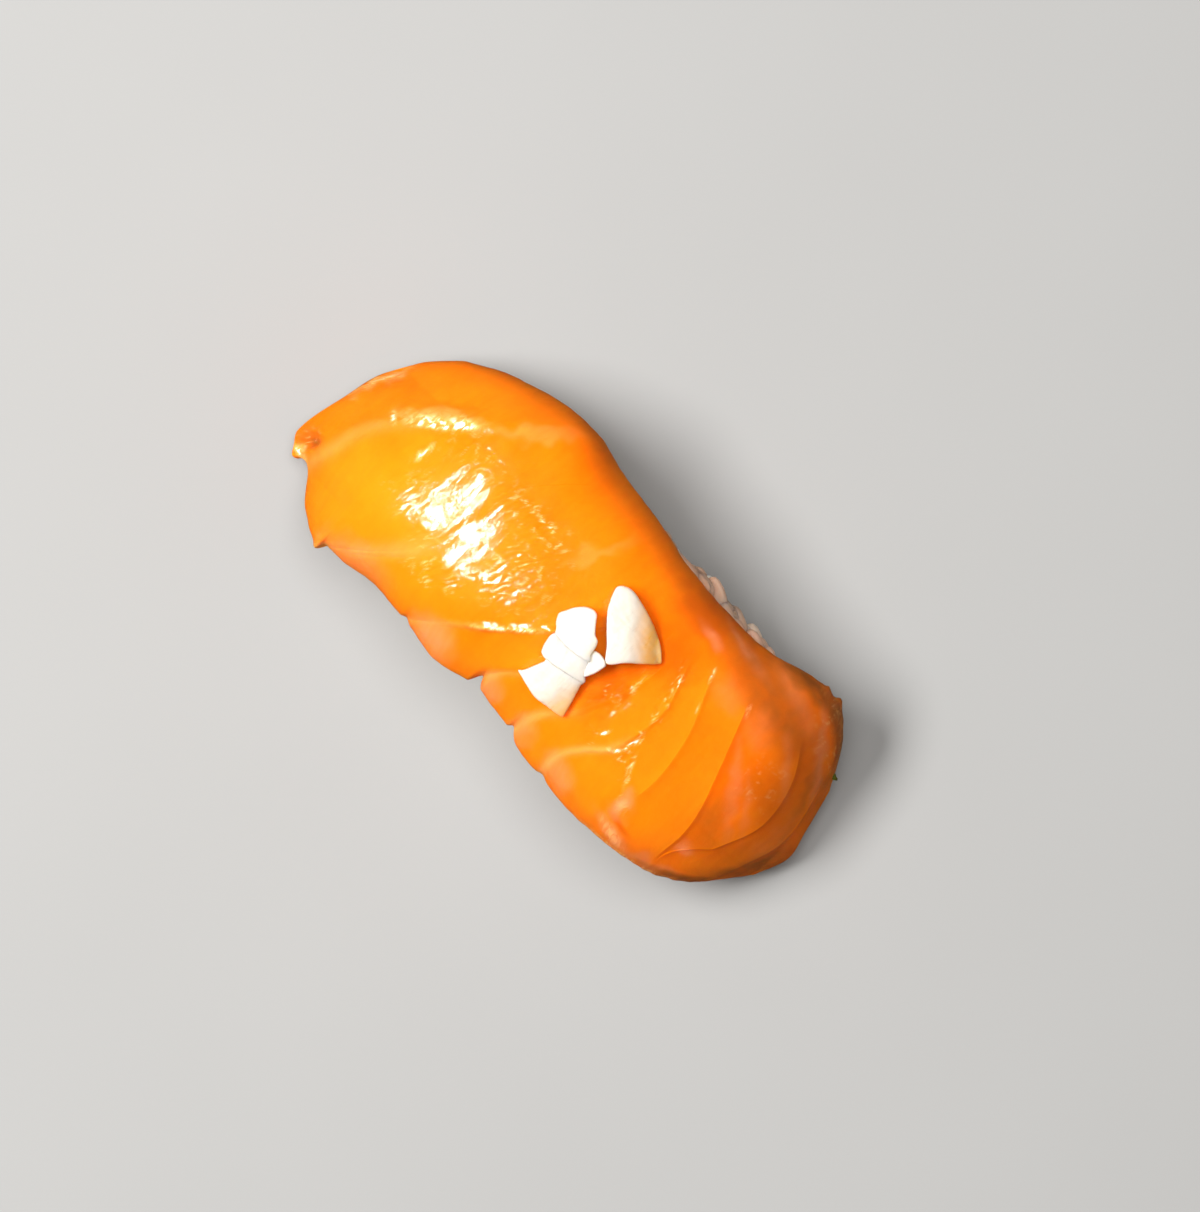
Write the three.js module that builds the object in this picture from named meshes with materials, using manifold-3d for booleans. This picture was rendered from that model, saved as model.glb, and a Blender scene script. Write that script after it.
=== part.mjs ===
// Salmon nigiri: a pressed finger of rice under one draped slice of salmon, with five chips of raw garlic
// on top. Millimetres. +X runs along the finger, +Y across it and +Z up from the surface it rests on.

import * as THREE from "three";
import { mergeVertices } from "three/addons/utils/BufferGeometryUtils.js";
import Module from "manifold-3d";

const wasm = await Module();
wasm.setup();

// ---- Slice of salmon ----

const CREST_HEIGHT = 24; // middle of the slice above the surface
const CREST_FALL = 1.5; // how much lower the crest line is at the two ends
const CREST_LEAN = 0.2; // how far the crest line lies towards the far side, as a share of the half width
const END_SQUARENESS = 2.6; // power of the fall towards the ends
const SIDE_SQUARENESS = 3; // power of the fall towards the sides
const END_SHOULDER = 0.7; // power that rounds the drape over the ends of the rice
const SIDE_SHOULDER = 0.5; // power that rounds it over the sides
const SHOULDER_EASE = 0.03; // keeps the drape from turning quite vertical at its edges
const NORMAL_REACH = 1; // distance over which the lie of the drape is taken
const MID_THICKNESS = 4.4;
const EDGE_THICKNESS = 1.7;
const THINNING = 0.6; // power of the thinning towards the edges
const EDGE_ROUND = 0.3; // bulge of the cut edge, as a share of its thickness
const LOWEST_POINT = 0.3; // clear height under the drooping tips

// Plan of the slice: [x, y] along the two sides and [y, x] along the two ends.
const NEAR_SIDE = [
  [-33.3, -9.5],
  [-31.3, -9.2],
  [-28.2, -12.4],
  [-24.5, -14.2],
  [-21.5, -13.7],
  [-16.5, -12.8],
  [-12, -12.9],
  [-7.3, -13.8],
  [-1.9, -12.9],
  [3, -13.3],
  [7, -14.4],
  [14, -15.2],
  [20, -14.9],
  [25, -14],
  [29, -11.8],
  [33.6, -6.5],
];
const FAR_SIDE = [
  [-31.4, 5.4],
  [-29.8, 7.8],
  [-26.5, 10.8],
  [-20, 13.6],
  [-12, 15.2],
  [-7, 13.9],
  [0, 12.8],
  [6, 11.6],
  [14, 11.2],
  [18, 11.5],
  [22, 12.7],
  [26.5, 12.9],
  [30, 10.5],
  [33, 5.7],
];
const LEFT_END = [
  [-9.5, -33.3],
  [-7.3, -34.7],
  [-1, -33.6],
  [2.6, -32.8],
  [5.4, -31.4],
];
const RIGHT_END = [
  [-6.5, 33.6],
  [-2.5, 35],
  [1, 34.2],
  [5.7, 33],
];

// Height of the hanging edges above the surface, along both sides.
const NEAR_HEM = [
  [-33.3, 2.8],
  [-29, 6],
  [-22, 11.5],
  [-12, 14.5],
  [10, 15],
  [20, 13.5],
  [27, 9],
  [33.6, 3.4],
];
const FAR_HEM = [
  [-31.4, 3.8],
  [-26, 8],
  [-18, 12.5],
  [-8, 14.5],
  [8, 15.8],
  [18, 14.5],
  [26, 9.5],
  [33, 3.4],
];

// Seams between the flakes of the fish: x where each crosses the near side, three lines along the slice,
// and the far side.
const SEAM_LINES = { low: -7.5, middle: -1, high: 5 };
const SEAMS = [
  { near: -31.2, low: -30.6, middle: -28.2, high: -21.5, far: -11.5 },
  { near: -23.4, low: -17.3, middle: -10.3, high: -3, far: 1 },
  { near: -11.8, low: -5, middle: 1.8, high: 5.4, far: 4.2 },
  { near: -1.9, low: 2.2, middle: 8, high: 8.9, far: 8.6 },
  { near: 4.3, low: 7.4, middle: 10, high: 10.6, far: 10.4 },
  { near: 10, low: 13.2, middle: 14, high: 12.2, far: 11.9 },
  { near: 16.8, low: 18.9, middle: 17.9, high: 15.2, far: 13.6 },
  { near: 24.3, low: 25, middle: 22.7, high: 20.2, far: 17.5 },
  { near: 26, low: 28.5, middle: 30.1, high: 28, far: 21 },
  { near: 30.3, low: 31.4, middle: 33.2, high: 31.8, far: 29.5 },
];
const SEAM_STEP = 0.3; // how far a flake starts below the one on its left
const STEP_RUN = 2.6; // distance over which the flake rises again
const NEAR_NOTCH = 1.1; // depth of the seams where they run out over the near side
const FAR_NOTCH = 0.4;
const NOTCH_REACH = 0.22; // share of the width over which a seam deepens into a notch
const SEAM_WIDTH = 0.9; // half of the width of a notch
const SHOULDER_RIDGE = 0.7; // height of the fold along the first seam
const RIDGE_WIDTH = 2.2;
const RELIEF_AT_HEM = 0.35; // share of the relief that is left at the very edges
const RELIEF_RISE = 4; // how fast the rest of it comes in
const SLICE_SPACING = 2.4; // between the columns of the slice
const SLICE_ROWS = 22;
const ROW_CROWDING = 0.6; // how much closer together the rows are at the sides, from 0 to 1
const MOST_SEAM_SHARE = 0.25; // of a narrow flake

// ---- Finger of rice ----

const CORE_HALF_LENGTH = 29.8;
const CORE_HALF_WIDTH = 11.8;
const CORE_SHIFT = 0.2; // towards the far side
const CORE_WAIST = 7.5; // height where the finger is widest
const CORE_TOP = 26; // before the slice presses into it
const CORE_ROUNDNESS_DOWN = 15; // height over which the finger would close below its waist
const CORE_PLAN_POWER = 3;
const CORE_RISE_POWER = 2.6;
const CORE_SIDES = 36;
const CORE_LEVELS = 7;
const CORE_CROWDING = 1.3; // above 1 the levels are closer together at the top
const ROOM_SPACING = 4; // between the columns of the room pressed into the rice by the slice
const ROOM_ROWS = 16;
const ROOM_HEIGHT = 6;
const SLICE_GAP = 0.6; // between the rice and the slice
const HEM_GAP = 1; // between the rice and the hanging edges of the slice

const GRAIN_LENGTH = 6.1;
const GRAIN_WIDTH = 2.8;
const GRAIN_THICKNESS = 2.5;
const GRAIN_SIDES = 5;
const GRAIN_RINGS = [-0.32, 0, 0.32]; // places of its rings, as shares of its length
const GRAIN_SUNK = 0.25; // how deep the middle of a grain lies under the skin of the core
const GRAIN_SPACING = 5.4;
const GRAIN_LEVELS = [1.3, 4.9, 8.5, 12.1]; // heights of the rows of grains
const GRAIN_STAGGER = 0.09; // angle by which every other level is turned
const GRAIN_STRAY = 0.07; // angle over which a grain is moved along its level
const GRAIN_LOWEST = 0.6; // height of the middle of the lowest grains
const GRAIN_SCATTER = 1.2; // of the heights round each level
const GRAIN_LEAST_SIZE = 0.86;
const GRAIN_MOST_SIZE = 1.1;
const CORE_SPINE_SHARE = 0.75; // length of the line that the skin faces away from, as a share of the core's
const GRAIN_SEED = 20;
const GRAIN_LEAST_FREE = 0.45; // share of a grain that has to be clear of the slice

// ---- Chips of garlic ----

const CHIP_GAP = 0.3; // between a chip and the slice
const CHIP_CORNER_STEPS = 3; // points from one corner to the next
const CHIP_ROUNDNESS = 0.2; // of its corners, from 0 for straight sides
// Outlines of a chip from its base to its top: share of its half width and of its height.
const CHIP_LAYERS = [
  { inset: 0.08, rise: 0 },
  { inset: 0, rise: 0.18 },
  { inset: 0.02, rise: 0.78 },
  { inset: 0.16, rise: 0.97 },
];
// Corners in plan, height at the centre, and lean of the top along X and Y.
const CHIPS = [
  {
    name: "garlic_wedge",
    plan: [[1.6, 5.1], [3.1, 5.8], [6, 5.2], [9.1, 3.9], [10.3, 2.3], [8.3, 0.3], [6.4, -1.6], [3.8, 1.4]],
    height: 3.4,
    lean: [-0.05, -0.2],
  },
  {
    name: "garlic_top_block",
    plan: [[-0.75, -1.3], [0, 0.3], [1.5, 1.4], [2.6, 0.6], [4, -0.5], [4.6, -2.2], [3.4, -3], [0.5, -3.1]],
    height: 3.2,
    lean: [0.12, 0.05],
  },
  {
    name: "garlic_middle_block",
    plan: [[0.2, -3.5], [3.4, -3.4], [4.8, -2.7], [5.6, -4.1], [5.3, -4.6], [1.8, -5.6], [0.7, -5.6]],
    height: 2.9,
    lean: [0, 0.1],
  },
  {
    name: "garlic_end_wedge",
    plan: [[2, -6], [0.9, -8.2], [0.3, -8.8], [3.4, -9.4], [6.9, -8.9], [6.4, -6.9], [5.6, -5]],
    height: 3,
    lean: [-0.18, 0.08],
  },
  {
    name: "garlic_chip",
    plan: [[5, -1.3], [6.6, -1.9], [6.1, -3], [5.9, -3.8], [5.1, -2.6]],
    height: 1.4,
    lean: [0, 0],
  },
];

// ---- Finishes ----

const SALMON = new THREE.MeshStandardMaterial({ color: 0xfa8a1a, roughness: 0.3, metalness: 0 });
const RICE = new THREE.MeshStandardMaterial({ color: 0xf1e9dc, roughness: 0.5, metalness: 0 });
const GARLIC = new THREE.MeshStandardMaterial({ color: 0xfff1de, roughness: 0.45, metalness: 0 });

// ---- Helpers ----

const { lerp, clamp } = THREE.MathUtils;
const WELD = 1e-4; // vertices closer than this become one

// Value at x of a smooth line through stops [x, value], level beyond both ends.
function along(stops, x) {
  const last = stops.length - 1;
  if (x <= stops[0][0]) return stops[0][1];
  if (x >= stops[last][0]) return stops[last][1];
  const i = stops.findIndex((stop) => stop[0] > x) - 1;
  const span = stops[i + 1][0] - stops[i][0];
  const t = (x - stops[i][0]) / span;
  const leave = slopeAt(stops, i) * span;
  const arrive = slopeAt(stops, i + 1) * span;
  const [from, to] = [stops[i][1], stops[i + 1][1]];
  const bend = t * (1 - t) * ((1 - t) * (leave - (to - from)) + t * (to - from - arrive));
  return lerp(from, to, t) + bend;
}

// Slope of the line of stops at stop i.
function slopeAt(stops, i) {
  const before = stops[Math.max(i - 1, 0)];
  const after = stops[Math.min(i + 1, stops.length - 1)];
  return (after[1] - before[1]) / (after[0] - before[0]);
}

// Closed geometry from points and triangles.
function geometryOf(points, triangles) {
  const geometry = new THREE.BufferGeometry().setFromPoints(points);
  geometry.setIndex(triangles);
  geometry.computeVertexNormals();
  return geometry;
}

// Geometry as a solid that can be joined and cut.
function toSolid(geometry) {
  const bare = geometry.clone();
  bare.deleteAttribute("normal");
  bare.deleteAttribute("uv");
  const welded = mergeVertices(bare, WELD);
  const vertProperties = welded.attributes.position.array;
  const triVerts = Uint32Array.from(welded.index.array);
  return new wasm.Manifold(new wasm.Mesh({ numProp: 3, vertProperties, triVerts }));
}

// Solid as a geometry.
function toGeometry(solid) {
  const mesh = solid.getMesh();
  const geometry = new THREE.BufferGeometry();
  geometry.setAttribute("position", new THREE.BufferAttribute(mesh.vertProperties, 3));
  geometry.setIndex(new THREE.BufferAttribute(mesh.triVerts, 1));
  geometry.computeVertexNormals();
  return geometry;
}

// Rings of equally many points, each ring around the last, closed by a fan at both ends.
function lofted(rings, bottomPoint, topPoint) {
  const sides = rings[0].length;
  const points = [...rings.flat(), bottomPoint, topPoint];
  const bottom = points.length - 2;
  const top = points.length - 1;
  const lastRing = (rings.length - 1) * sides;
  const triangles = [];
  for (let k = 0; k < sides; k++) {
    const next = (k + 1) % sides;
    triangles.push(bottom, next, k);
    triangles.push(top, lastRing + k, lastRing + next);
    for (let ring = 0; ring < lastRing; ring += sides) {
      triangles.push(ring + k, ring + next, ring + sides + next);
      triangles.push(ring + k, ring + sides + next, ring + sides + k);
    }
  }
  return geometryOf(points, triangles);
}

// Random numbers from 0 to 1 that are the same each time.
function seededRandom(seed) {
  let state = seed;
  return () => {
    state = (Math.imul(state, 1664525) + 1013904223) >>> 0;
    return state / 2 ** 32;
  };
}

// ---- Drape of the slice ----

// Places of a plan point between the ends and between the sides, each from -1 to 1.
function placeInPlan(x, y) {
  const left = along(LEFT_END, y);
  const right = along(RIGHT_END, y);
  const near = along(NEAR_SIDE, x);
  const far = along(FAR_SIDE, x);
  return {
    lengthwise: clamp((2 * (x - left)) / (right - left) - 1, -1, 1),
    crosswise: clamp((2 * (y - near)) / (far - near) - 1, -1, 1),
  };
}

// How far a plan point is from the ends and from the sides: 0 on them and 1 on the crest.
function distances(x, y) {
  const { lengthwise, crosswise } = placeInPlan(x, y);
  const leaning = crosswise - CREST_LEAN * (1 - crosswise ** 2);
  return {
    fromEnds: 1 - Math.abs(lengthwise) ** END_SQUARENESS,
    fromSides: 1 - Math.abs(leaning) ** SIDE_SQUARENESS,
    crosswise,
  };
}

// How far a plan point is from the outline: 0 on it and 1 on the crest.
function fullness(x, y) {
  const { fromEnds, fromSides } = distances(x, y);
  return fromEnds * fromSides;
}

// Share of its height that a rounded shoulder has, from its foot at 0 to its crest at 1.
function shoulder(share, power) {
  const curved = (at) => (at + SHOULDER_EASE) ** power;
  return (curved(share) - curved(0)) / (curved(1) - curved(0));
}

// Height of the smooth top of the slice.
function drapeHeight(x, y) {
  const { fromEnds, fromSides, crosswise } = distances(x, y);
  const hem = lerp(along(NEAR_HEM, x), along(FAR_HEM, x), (crosswise + 1) / 2);
  const crest = CREST_HEIGHT - CREST_FALL * (x / RIGHT_END[1][1]) ** 2;
  return lerp(hem, crest, shoulder(fromEnds, END_SHOULDER) * shoulder(fromSides, SIDE_SHOULDER));
}

// Outward direction of the smooth top of the slice.
function drapeNormal(x, y) {
  const reach = NORMAL_REACH;
  const slopeX = (drapeHeight(x + reach, y) - drapeHeight(x - reach, y)) / (2 * reach);
  const slopeY = (drapeHeight(x, y + reach) - drapeHeight(x, y - reach)) / (2 * reach);
  return new THREE.Vector3(-slopeX, -slopeY, 1).normalize();
}

// ---- Salmon slice ----

// Plan point at share v of the way along seam k, with the two ends of the slice as first and last seams.
function seamPoint(k, v) {
  if (k === 0) return endPoint(LEFT_END, v);
  if (k > SEAMS.length) return endPoint(RIGHT_END, v);
  const { near, low, middle, high, far } = SEAMS[k - 1];
  const nearY = along(NEAR_SIDE, near);
  const farY = along(FAR_SIDE, far);
  const stops = [
    [nearY, near],
    [SEAM_LINES.low, low],
    [SEAM_LINES.middle, middle],
    [SEAM_LINES.high, high],
    [farY, far],
  ];
  const y = lerp(nearY, farY, v);
  return new THREE.Vector2(along(stops, y), y);
}

// Plan point at share v of the way along one end.
function endPoint(end, v) {
  const y = lerp(end[0][0], end[end.length - 1][0], v);
  return new THREE.Vector2(along(end, y), y);
}

// Plan point at share f of flake k and share v of the width, held to the outline at both sides.
function flakePoint(k, f, v) {
  const between = (share) => seamPoint(k, share).lerp(seamPoint(k + 1, share), f);
  const point = between(v);
  const near = between(0);
  const far = between(1);
  point.y += (1 - v) * (along(NEAR_SIDE, near.x) - near.y) + v * (along(FAR_SIDE, far.x) - far.y);
  return point;
}

// Width of flake k at share v of the width of the slice.
function flakeWidth(k, v) {
  return seamPoint(k, v).distanceTo(seamPoint(k + 1, v));
}

// Height of the flakes over the smooth drape. They lie like shingles, each starting below the one on its
// left, and the seams between them deepen into notches at both sides.
function flakeRelief(k, f, v) {
  const width = flakeWidth(k, v);
  const fromLeftSeam = k > 0 ? f * width : Infinity;
  const fromRightSeam = k < SEAMS.length ? (1 - f) * width : Infinity;
  const shingle = -SEAM_STEP * Math.exp(-fromLeftSeam / STEP_RUN);
  const notch = NEAR_NOTCH * Math.exp(-v / NOTCH_REACH) + FAR_NOTCH * Math.exp((v - 1) / NOTCH_REACH);
  const seam = -notch * Math.exp(-Math.min(fromLeftSeam, fromRightSeam) / SEAM_WIDTH);
  const fromRidge = (k === 0 ? 1 - f : k === 1 ? f : 1) * width;
  const ridge = SHOULDER_RIDGE * Math.exp(-((fromRidge / RIDGE_WIDTH) ** 2)) * Math.sin(Math.PI * v);
  const { x, y } = flakePoint(k, f, v);
  return (shingle + seam + ridge) * Math.min(1, RELIEF_RISE * fullness(x, y) + RELIEF_AT_HEM);
}

// Columns of the slice: a flake and a share of it, close together at the seams.
function flakeColumns(spacing) {
  const columns = [];
  for (let k = 0; k <= SEAMS.length; k++) {
    const widest = Math.max(flakeWidth(k, 0), flakeWidth(k, 0.5), flakeWidth(k, 1));
    const margin = Math.min(MOST_SEAM_SHARE, SEAM_WIDTH / widest);
    const steps = Math.max(1, Math.round((widest - 2 * SEAM_WIDTH) / spacing));
    columns.push([k, 0]);
    for (let step = 0; step <= steps; step++) columns.push([k, lerp(margin, 1 - margin, step / steps)]);
  }
  columns.push([SEAMS.length, 1]);
  return columns;
}

// Shares of the width for the rows of the slice, closer together towards both sides.
function crossRows(count) {
  return Array.from({ length: count + 1 }, (_, row) => {
    const even = row / count;
    return lerp(even, 0.5 - 0.5 * Math.cos(Math.PI * even), ROW_CROWDING);
  });
}

// Top point, underside point and outward direction of the slice at one place of its grid.
function slicePoint([k, f], v, grown) {
  const { x, y } = flakePoint(k, f, v);
  const normal = drapeNormal(x, y);
  const top = new THREE.Vector3(x, y, drapeHeight(x, y));
  const thickness = lerp(EDGE_THICKNESS, MID_THICKNESS, fullness(x, y) ** THINNING);
  const under = top.clone().addScaledVector(normal, -thickness - grown.under);
  top.addScaledVector(normal, grown.over > 0 ? grown.over : flakeRelief(k, f, v));
  under.z = Math.max(under.z, LOWEST_POINT - grown.under);
  return { top, under, thickness };
}

// Border of a grid of columns and rows, once around against the clock, as [column, row].
function gridBorder(columns, rows) {
  const border = [];
  for (let i = 0; i < columns; i++) border.push([i, 0]);
  for (let j = 0; j < rows; j++) border.push([columns, j]);
  for (let i = columns; i > 0; i--) border.push([i, rows]);
  for (let j = rows; j > 0; j--) border.push([0, j]);
  return border;
}

// The whole slice, or a plainer copy of it that is grown over, under and out past its edges.
function sliceGeometry(spacing, rowCount, grown = { over: 0, under: 0, out: 0 }) {
  const columns = flakeColumns(spacing);
  const rows = crossRows(rowCount);
  const [lastColumn, lastRow] = [columns.length - 1, rows.length - 1];
  const grid = columns.map((column) => rows.map((v) => slicePoint(column, v, grown)));
  const border = gridBorder(lastColumn, lastRow);
  const rim = border.map(([i, j]) => {
    const inner = grid[clamp(i, 1, lastColumn - 1)][clamp(j, 1, lastRow - 1)];
    const { top, under, thickness } = grid[i][j];
    const outward = top.clone().sub(inner.top).normalize();
    const middle = top.clone().lerp(under, 0.5);
    middle.addScaledVector(outward, EDGE_ROUND * thickness + grown.out);
    middle.z = Math.max(middle.z, LOWEST_POINT - grown.out);
    under.addScaledVector(outward, grown.out);
    return middle;
  });
  const points = [];
  for (const column of grid) for (const { top } of column) points.push(top);
  for (const column of grid) for (const { under } of column) points.push(under);
  points.push(...rim);
  const perLayer = columns.length * rows.length;
  const at = (i, j, layer) => layer * perLayer + i * rows.length + j;
  const triangles = [];
  for (let i = 0; i < lastColumn; i++) {
    for (let j = 0; j < lastRow; j++) {
      const [a, b, c, d] = [at(i, j, 0), at(i + 1, j, 0), at(i + 1, j + 1, 0), at(i, j + 1, 0)];
      triangles.push(a, b, c, a, c, d);
      triangles.push(a + perLayer, c + perLayer, b + perLayer, a + perLayer, d + perLayer, c + perLayer);
    }
  }
  border.forEach(([i, j], n) => {
    const next = (n + 1) % border.length;
    const [nextI, nextJ] = border[next];
    const [rimHere, rimNext] = [2 * perLayer + n, 2 * perLayer + next];
    triangles.push(at(i, j, 0), rimHere, rimNext, at(i, j, 0), rimNext, at(nextI, nextJ, 0));
    triangles.push(rimHere, at(i, j, 1), at(nextI, nextJ, 1), rimHere, at(nextI, nextJ, 1), rimNext);
  });
  return geometryOf(points, triangles);
}

// ---- Rice ----

// Share of the full width that the finger of rice has at height z.
function coreScale(z) {
  const reach = z > CORE_WAIST ? CORE_TOP - CORE_WAIST : CORE_ROUNDNESS_DOWN;
  return (1 - Math.abs((z - CORE_WAIST) / reach) ** CORE_RISE_POWER) ** (1 / CORE_RISE_POWER);
}

// Point on the skin of the core at an angle round it and a height.
function corePoint(angle, z) {
  const rounded = (wave) => Math.sign(wave) * Math.abs(wave) ** (2 / CORE_PLAN_POWER);
  const scale = coreScale(z);
  const x = CORE_HALF_LENGTH * scale * rounded(Math.cos(angle));
  const y = CORE_SHIFT + CORE_HALF_WIDTH * scale * rounded(Math.sin(angle));
  return new THREE.Vector3(x, y, z);
}

// Smooth finger of rice, taller than it ends up.
function coreGeometry() {
  const rings = [];
  for (let level = 0; level < CORE_LEVELS; level++) {
    const z = CORE_TOP * (1 - (1 - level / CORE_LEVELS) ** CORE_CROWDING);
    const angleAt = (side) => (2 * Math.PI * (side + 0.5)) / CORE_SIDES;
    rings.push(Array.from({ length: CORE_SIDES }, (_, side) => corePoint(angleAt(side), z)));
  }
  const bottom = new THREE.Vector3(0, CORE_SHIFT, 0);
  const top = new THREE.Vector3(0, CORE_SHIFT, CORE_TOP);
  return lofted(rings, bottom, top);
}

// One grain, lying along X.
function grainGeometry(size) {
  const rings = GRAIN_RINGS.map((place) => {
    const girth = Math.sqrt(1 - (2 * place) ** 2) / 2;
    return Array.from({ length: GRAIN_SIDES }, (_, side) => {
      const angle = (2 * Math.PI * side) / GRAIN_SIDES;
      const y = girth * size * GRAIN_WIDTH * Math.cos(angle);
      const z = girth * size * GRAIN_THICKNESS * Math.sin(angle);
      return new THREE.Vector3(place * size * GRAIN_LENGTH, y, z);
    });
  });
  const tip = (size * GRAIN_LENGTH) / 2;
  return lofted(rings, new THREE.Vector3(-tip, 0, 0), new THREE.Vector3(tip, 0, 0));
}

// Angles round the core that are equally far apart along its skin at height z.
function evenAngles(z, spacing) {
  const steps = 720;
  const lengths = [0];
  for (let step = 1; step <= steps; step++) {
    const from = corePoint((2 * Math.PI * (step - 1)) / steps, z);
    const to = corePoint((2 * Math.PI * step) / steps, z);
    lengths.push(lengths[step - 1] + from.distanceTo(to));
  }
  const count = Math.round(lengths[steps] / spacing);
  return Array.from({ length: count }, (_, n) => {
    const step = lengths.findIndex((length) => length >= (n * lengths[steps]) / count);
    return (2 * Math.PI * step) / steps;
  });
}

// Places, sizes and turns of the grains round the sides of the finger, largest first.
function grainPlaces() {
  const random = seededRandom(GRAIN_SEED);
  const places = GRAIN_LEVELS.flatMap((z, level) =>
    evenAngles(z, GRAIN_SPACING).map((angle) => ({
      angle: angle + GRAIN_STAGGER * (level % 2) + GRAIN_STRAY * (random() - 0.5),
      z: Math.max(GRAIN_LOWEST, z + GRAIN_SCATTER * (random() - 0.5)),
      size: lerp(GRAIN_LEAST_SIZE, GRAIN_MOST_SIZE, random()),
      turn: Math.PI * random(),
    })),
  );
  return places.sort((a, b) => b.size - a.size);
}

// One grain pressed into the skin of the core at its place.
function placedGrain({ angle, z, size, turn }) {
  const skin = corePoint(angle, z);
  const outward = skin.clone().sub(new THREE.Vector3(CORE_SPINE_SHARE * skin.x, CORE_SHIFT, z)).normalize();
  const lengthwise = new THREE.Vector3(-outward.y, outward.x, 0).applyAxisAngle(outward, turn);
  const across = new THREE.Vector3().crossVectors(outward, lengthwise);
  const matrix = new THREE.Matrix4().makeBasis(lengthwise, across, outward);
  matrix.setPosition(skin.addScaledVector(outward, -GRAIN_SUNK));
  return toSolid(grainGeometry(size).applyMatrix4(matrix));
}

// Everything below the surface that the rice stands on.
function underTable() {
  const depth = 10;
  const table = new THREE.BoxGeometry(4 * CORE_HALF_LENGTH, 4 * CORE_HALF_LENGTH, depth);
  return toSolid(table.translate(0, 0, -depth / 2));
}

// The rice: core and grains joined, pressed flat below and hollowed above for the slice.
function riceGeometry() {
  const grown = { over: ROOM_HEIGHT, under: SLICE_GAP, out: HEM_GAP };
  const roomForSlice = toSolid(sliceGeometry(ROOM_SPACING, ROOM_ROWS, grown));
  const grains = grainPlaces()
    .map(placedGrain)
    .filter((grain) => grain.subtract(roomForSlice).volume() > GRAIN_LEAST_FREE * grain.volume());
  const heap = wasm.Manifold.union([toSolid(coreGeometry()), ...grains]);
  const pressed = heap.subtract(underTable()).subtract(roomForSlice);
  const largest = pressed.decompose().reduce((a, b) => (b.volume() > a.volume() ? b : a));
  return toGeometry(largest);
}

// ---- Garlic ----

// A chip with rounded corners whose base follows the slice.
function chipGeometry({ plan, height, lean }) {
  const corners = plan.map(([x, y]) => new THREE.Vector3(x, y, 0));
  const outline = new THREE.CatmullRomCurve3(corners, true, "catmullrom", CHIP_ROUNDNESS);
  const steps = corners.length * CHIP_CORNER_STEPS;
  const around = outline.getPoints(steps).slice(0, steps);
  if (THREE.ShapeUtils.isClockWise(around)) around.reverse();
  const centre = around.reduce((sum, point) => sum.add(point), new THREE.Vector3()).divideScalar(steps);
  const seat = (point) => drapeHeight(point.x, point.y) + CHIP_GAP;
  const roof = (point) =>
    seat(centre) + height + lean[0] * (point.x - centre.x) + lean[1] * (point.y - centre.y);
  const at = (point, rise) => new THREE.Vector3(point.x, point.y, lerp(seat(point), roof(point), rise));
  const rings = CHIP_LAYERS.map(({ inset, rise }) =>
    around.map((point) => at(point.clone().lerp(centre, inset), rise)),
  );
  return lofted(rings, at(centre, 0), at(centre, 1));
}

// ---- Whole piece ----

// Named mesh of one solid.
function piece(name, geometry, material) {
  const mesh = new THREE.Mesh(geometry, material);
  mesh.name = name;
  return mesh;
}

const nigiri = new THREE.Group();
nigiri.add(piece("rice", riceGeometry(), RICE));
nigiri.add(piece("salmon_slice", sliceGeometry(SLICE_SPACING, SLICE_ROWS), SALMON));
for (const chip of CHIPS) nigiri.add(piece(chip.name, chipGeometry(chip), GARLIC));

export default nigiri;
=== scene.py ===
"""Salmon nigiri, dressed: a slice of salmon over a finger of rice, with chips of raw garlic on top.

Sizes inside the classes are millimetres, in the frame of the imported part: +X runs along the finger, +Y
across it and +Z up from the surface it rests on. Meshes are written in metres, and the sizes of the
finishes are metres too.
"""

import logging
import math
from dataclasses import dataclass, field
from enum import Enum

import bpy
import numpy as np
from mathutils import Matrix, Vector
from mathutils.bvhtree import BVHTree


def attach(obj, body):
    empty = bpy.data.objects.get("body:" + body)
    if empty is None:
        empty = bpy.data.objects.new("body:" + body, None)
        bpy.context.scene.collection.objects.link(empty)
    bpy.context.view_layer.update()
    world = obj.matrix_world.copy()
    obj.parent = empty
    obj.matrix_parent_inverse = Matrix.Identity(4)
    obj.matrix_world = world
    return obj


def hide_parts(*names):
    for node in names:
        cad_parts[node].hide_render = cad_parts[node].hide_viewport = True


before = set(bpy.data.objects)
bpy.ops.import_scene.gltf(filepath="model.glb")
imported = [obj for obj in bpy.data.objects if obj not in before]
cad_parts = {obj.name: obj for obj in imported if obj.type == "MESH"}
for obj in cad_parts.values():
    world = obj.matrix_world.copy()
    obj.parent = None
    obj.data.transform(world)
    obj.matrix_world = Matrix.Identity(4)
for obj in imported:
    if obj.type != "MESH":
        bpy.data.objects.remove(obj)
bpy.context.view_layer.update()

MM = 0.001
BODY = "root"
LOG = logging.getLogger("nigiri")

Array = np.ndarray
Material = bpy.types.Material
Piece = bpy.types.Object
Socket = bpy.types.NodeSocket
Colour = tuple[float, float, float, float]
Pair = tuple[float, float]
Triple = tuple[float, float, float]
Row = tuple[float, ...]
Rows = tuple[Row, ...]
Inputs = dict[str | int, object]


# ---- Lines, noise and meshes that every piece uses ----


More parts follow.
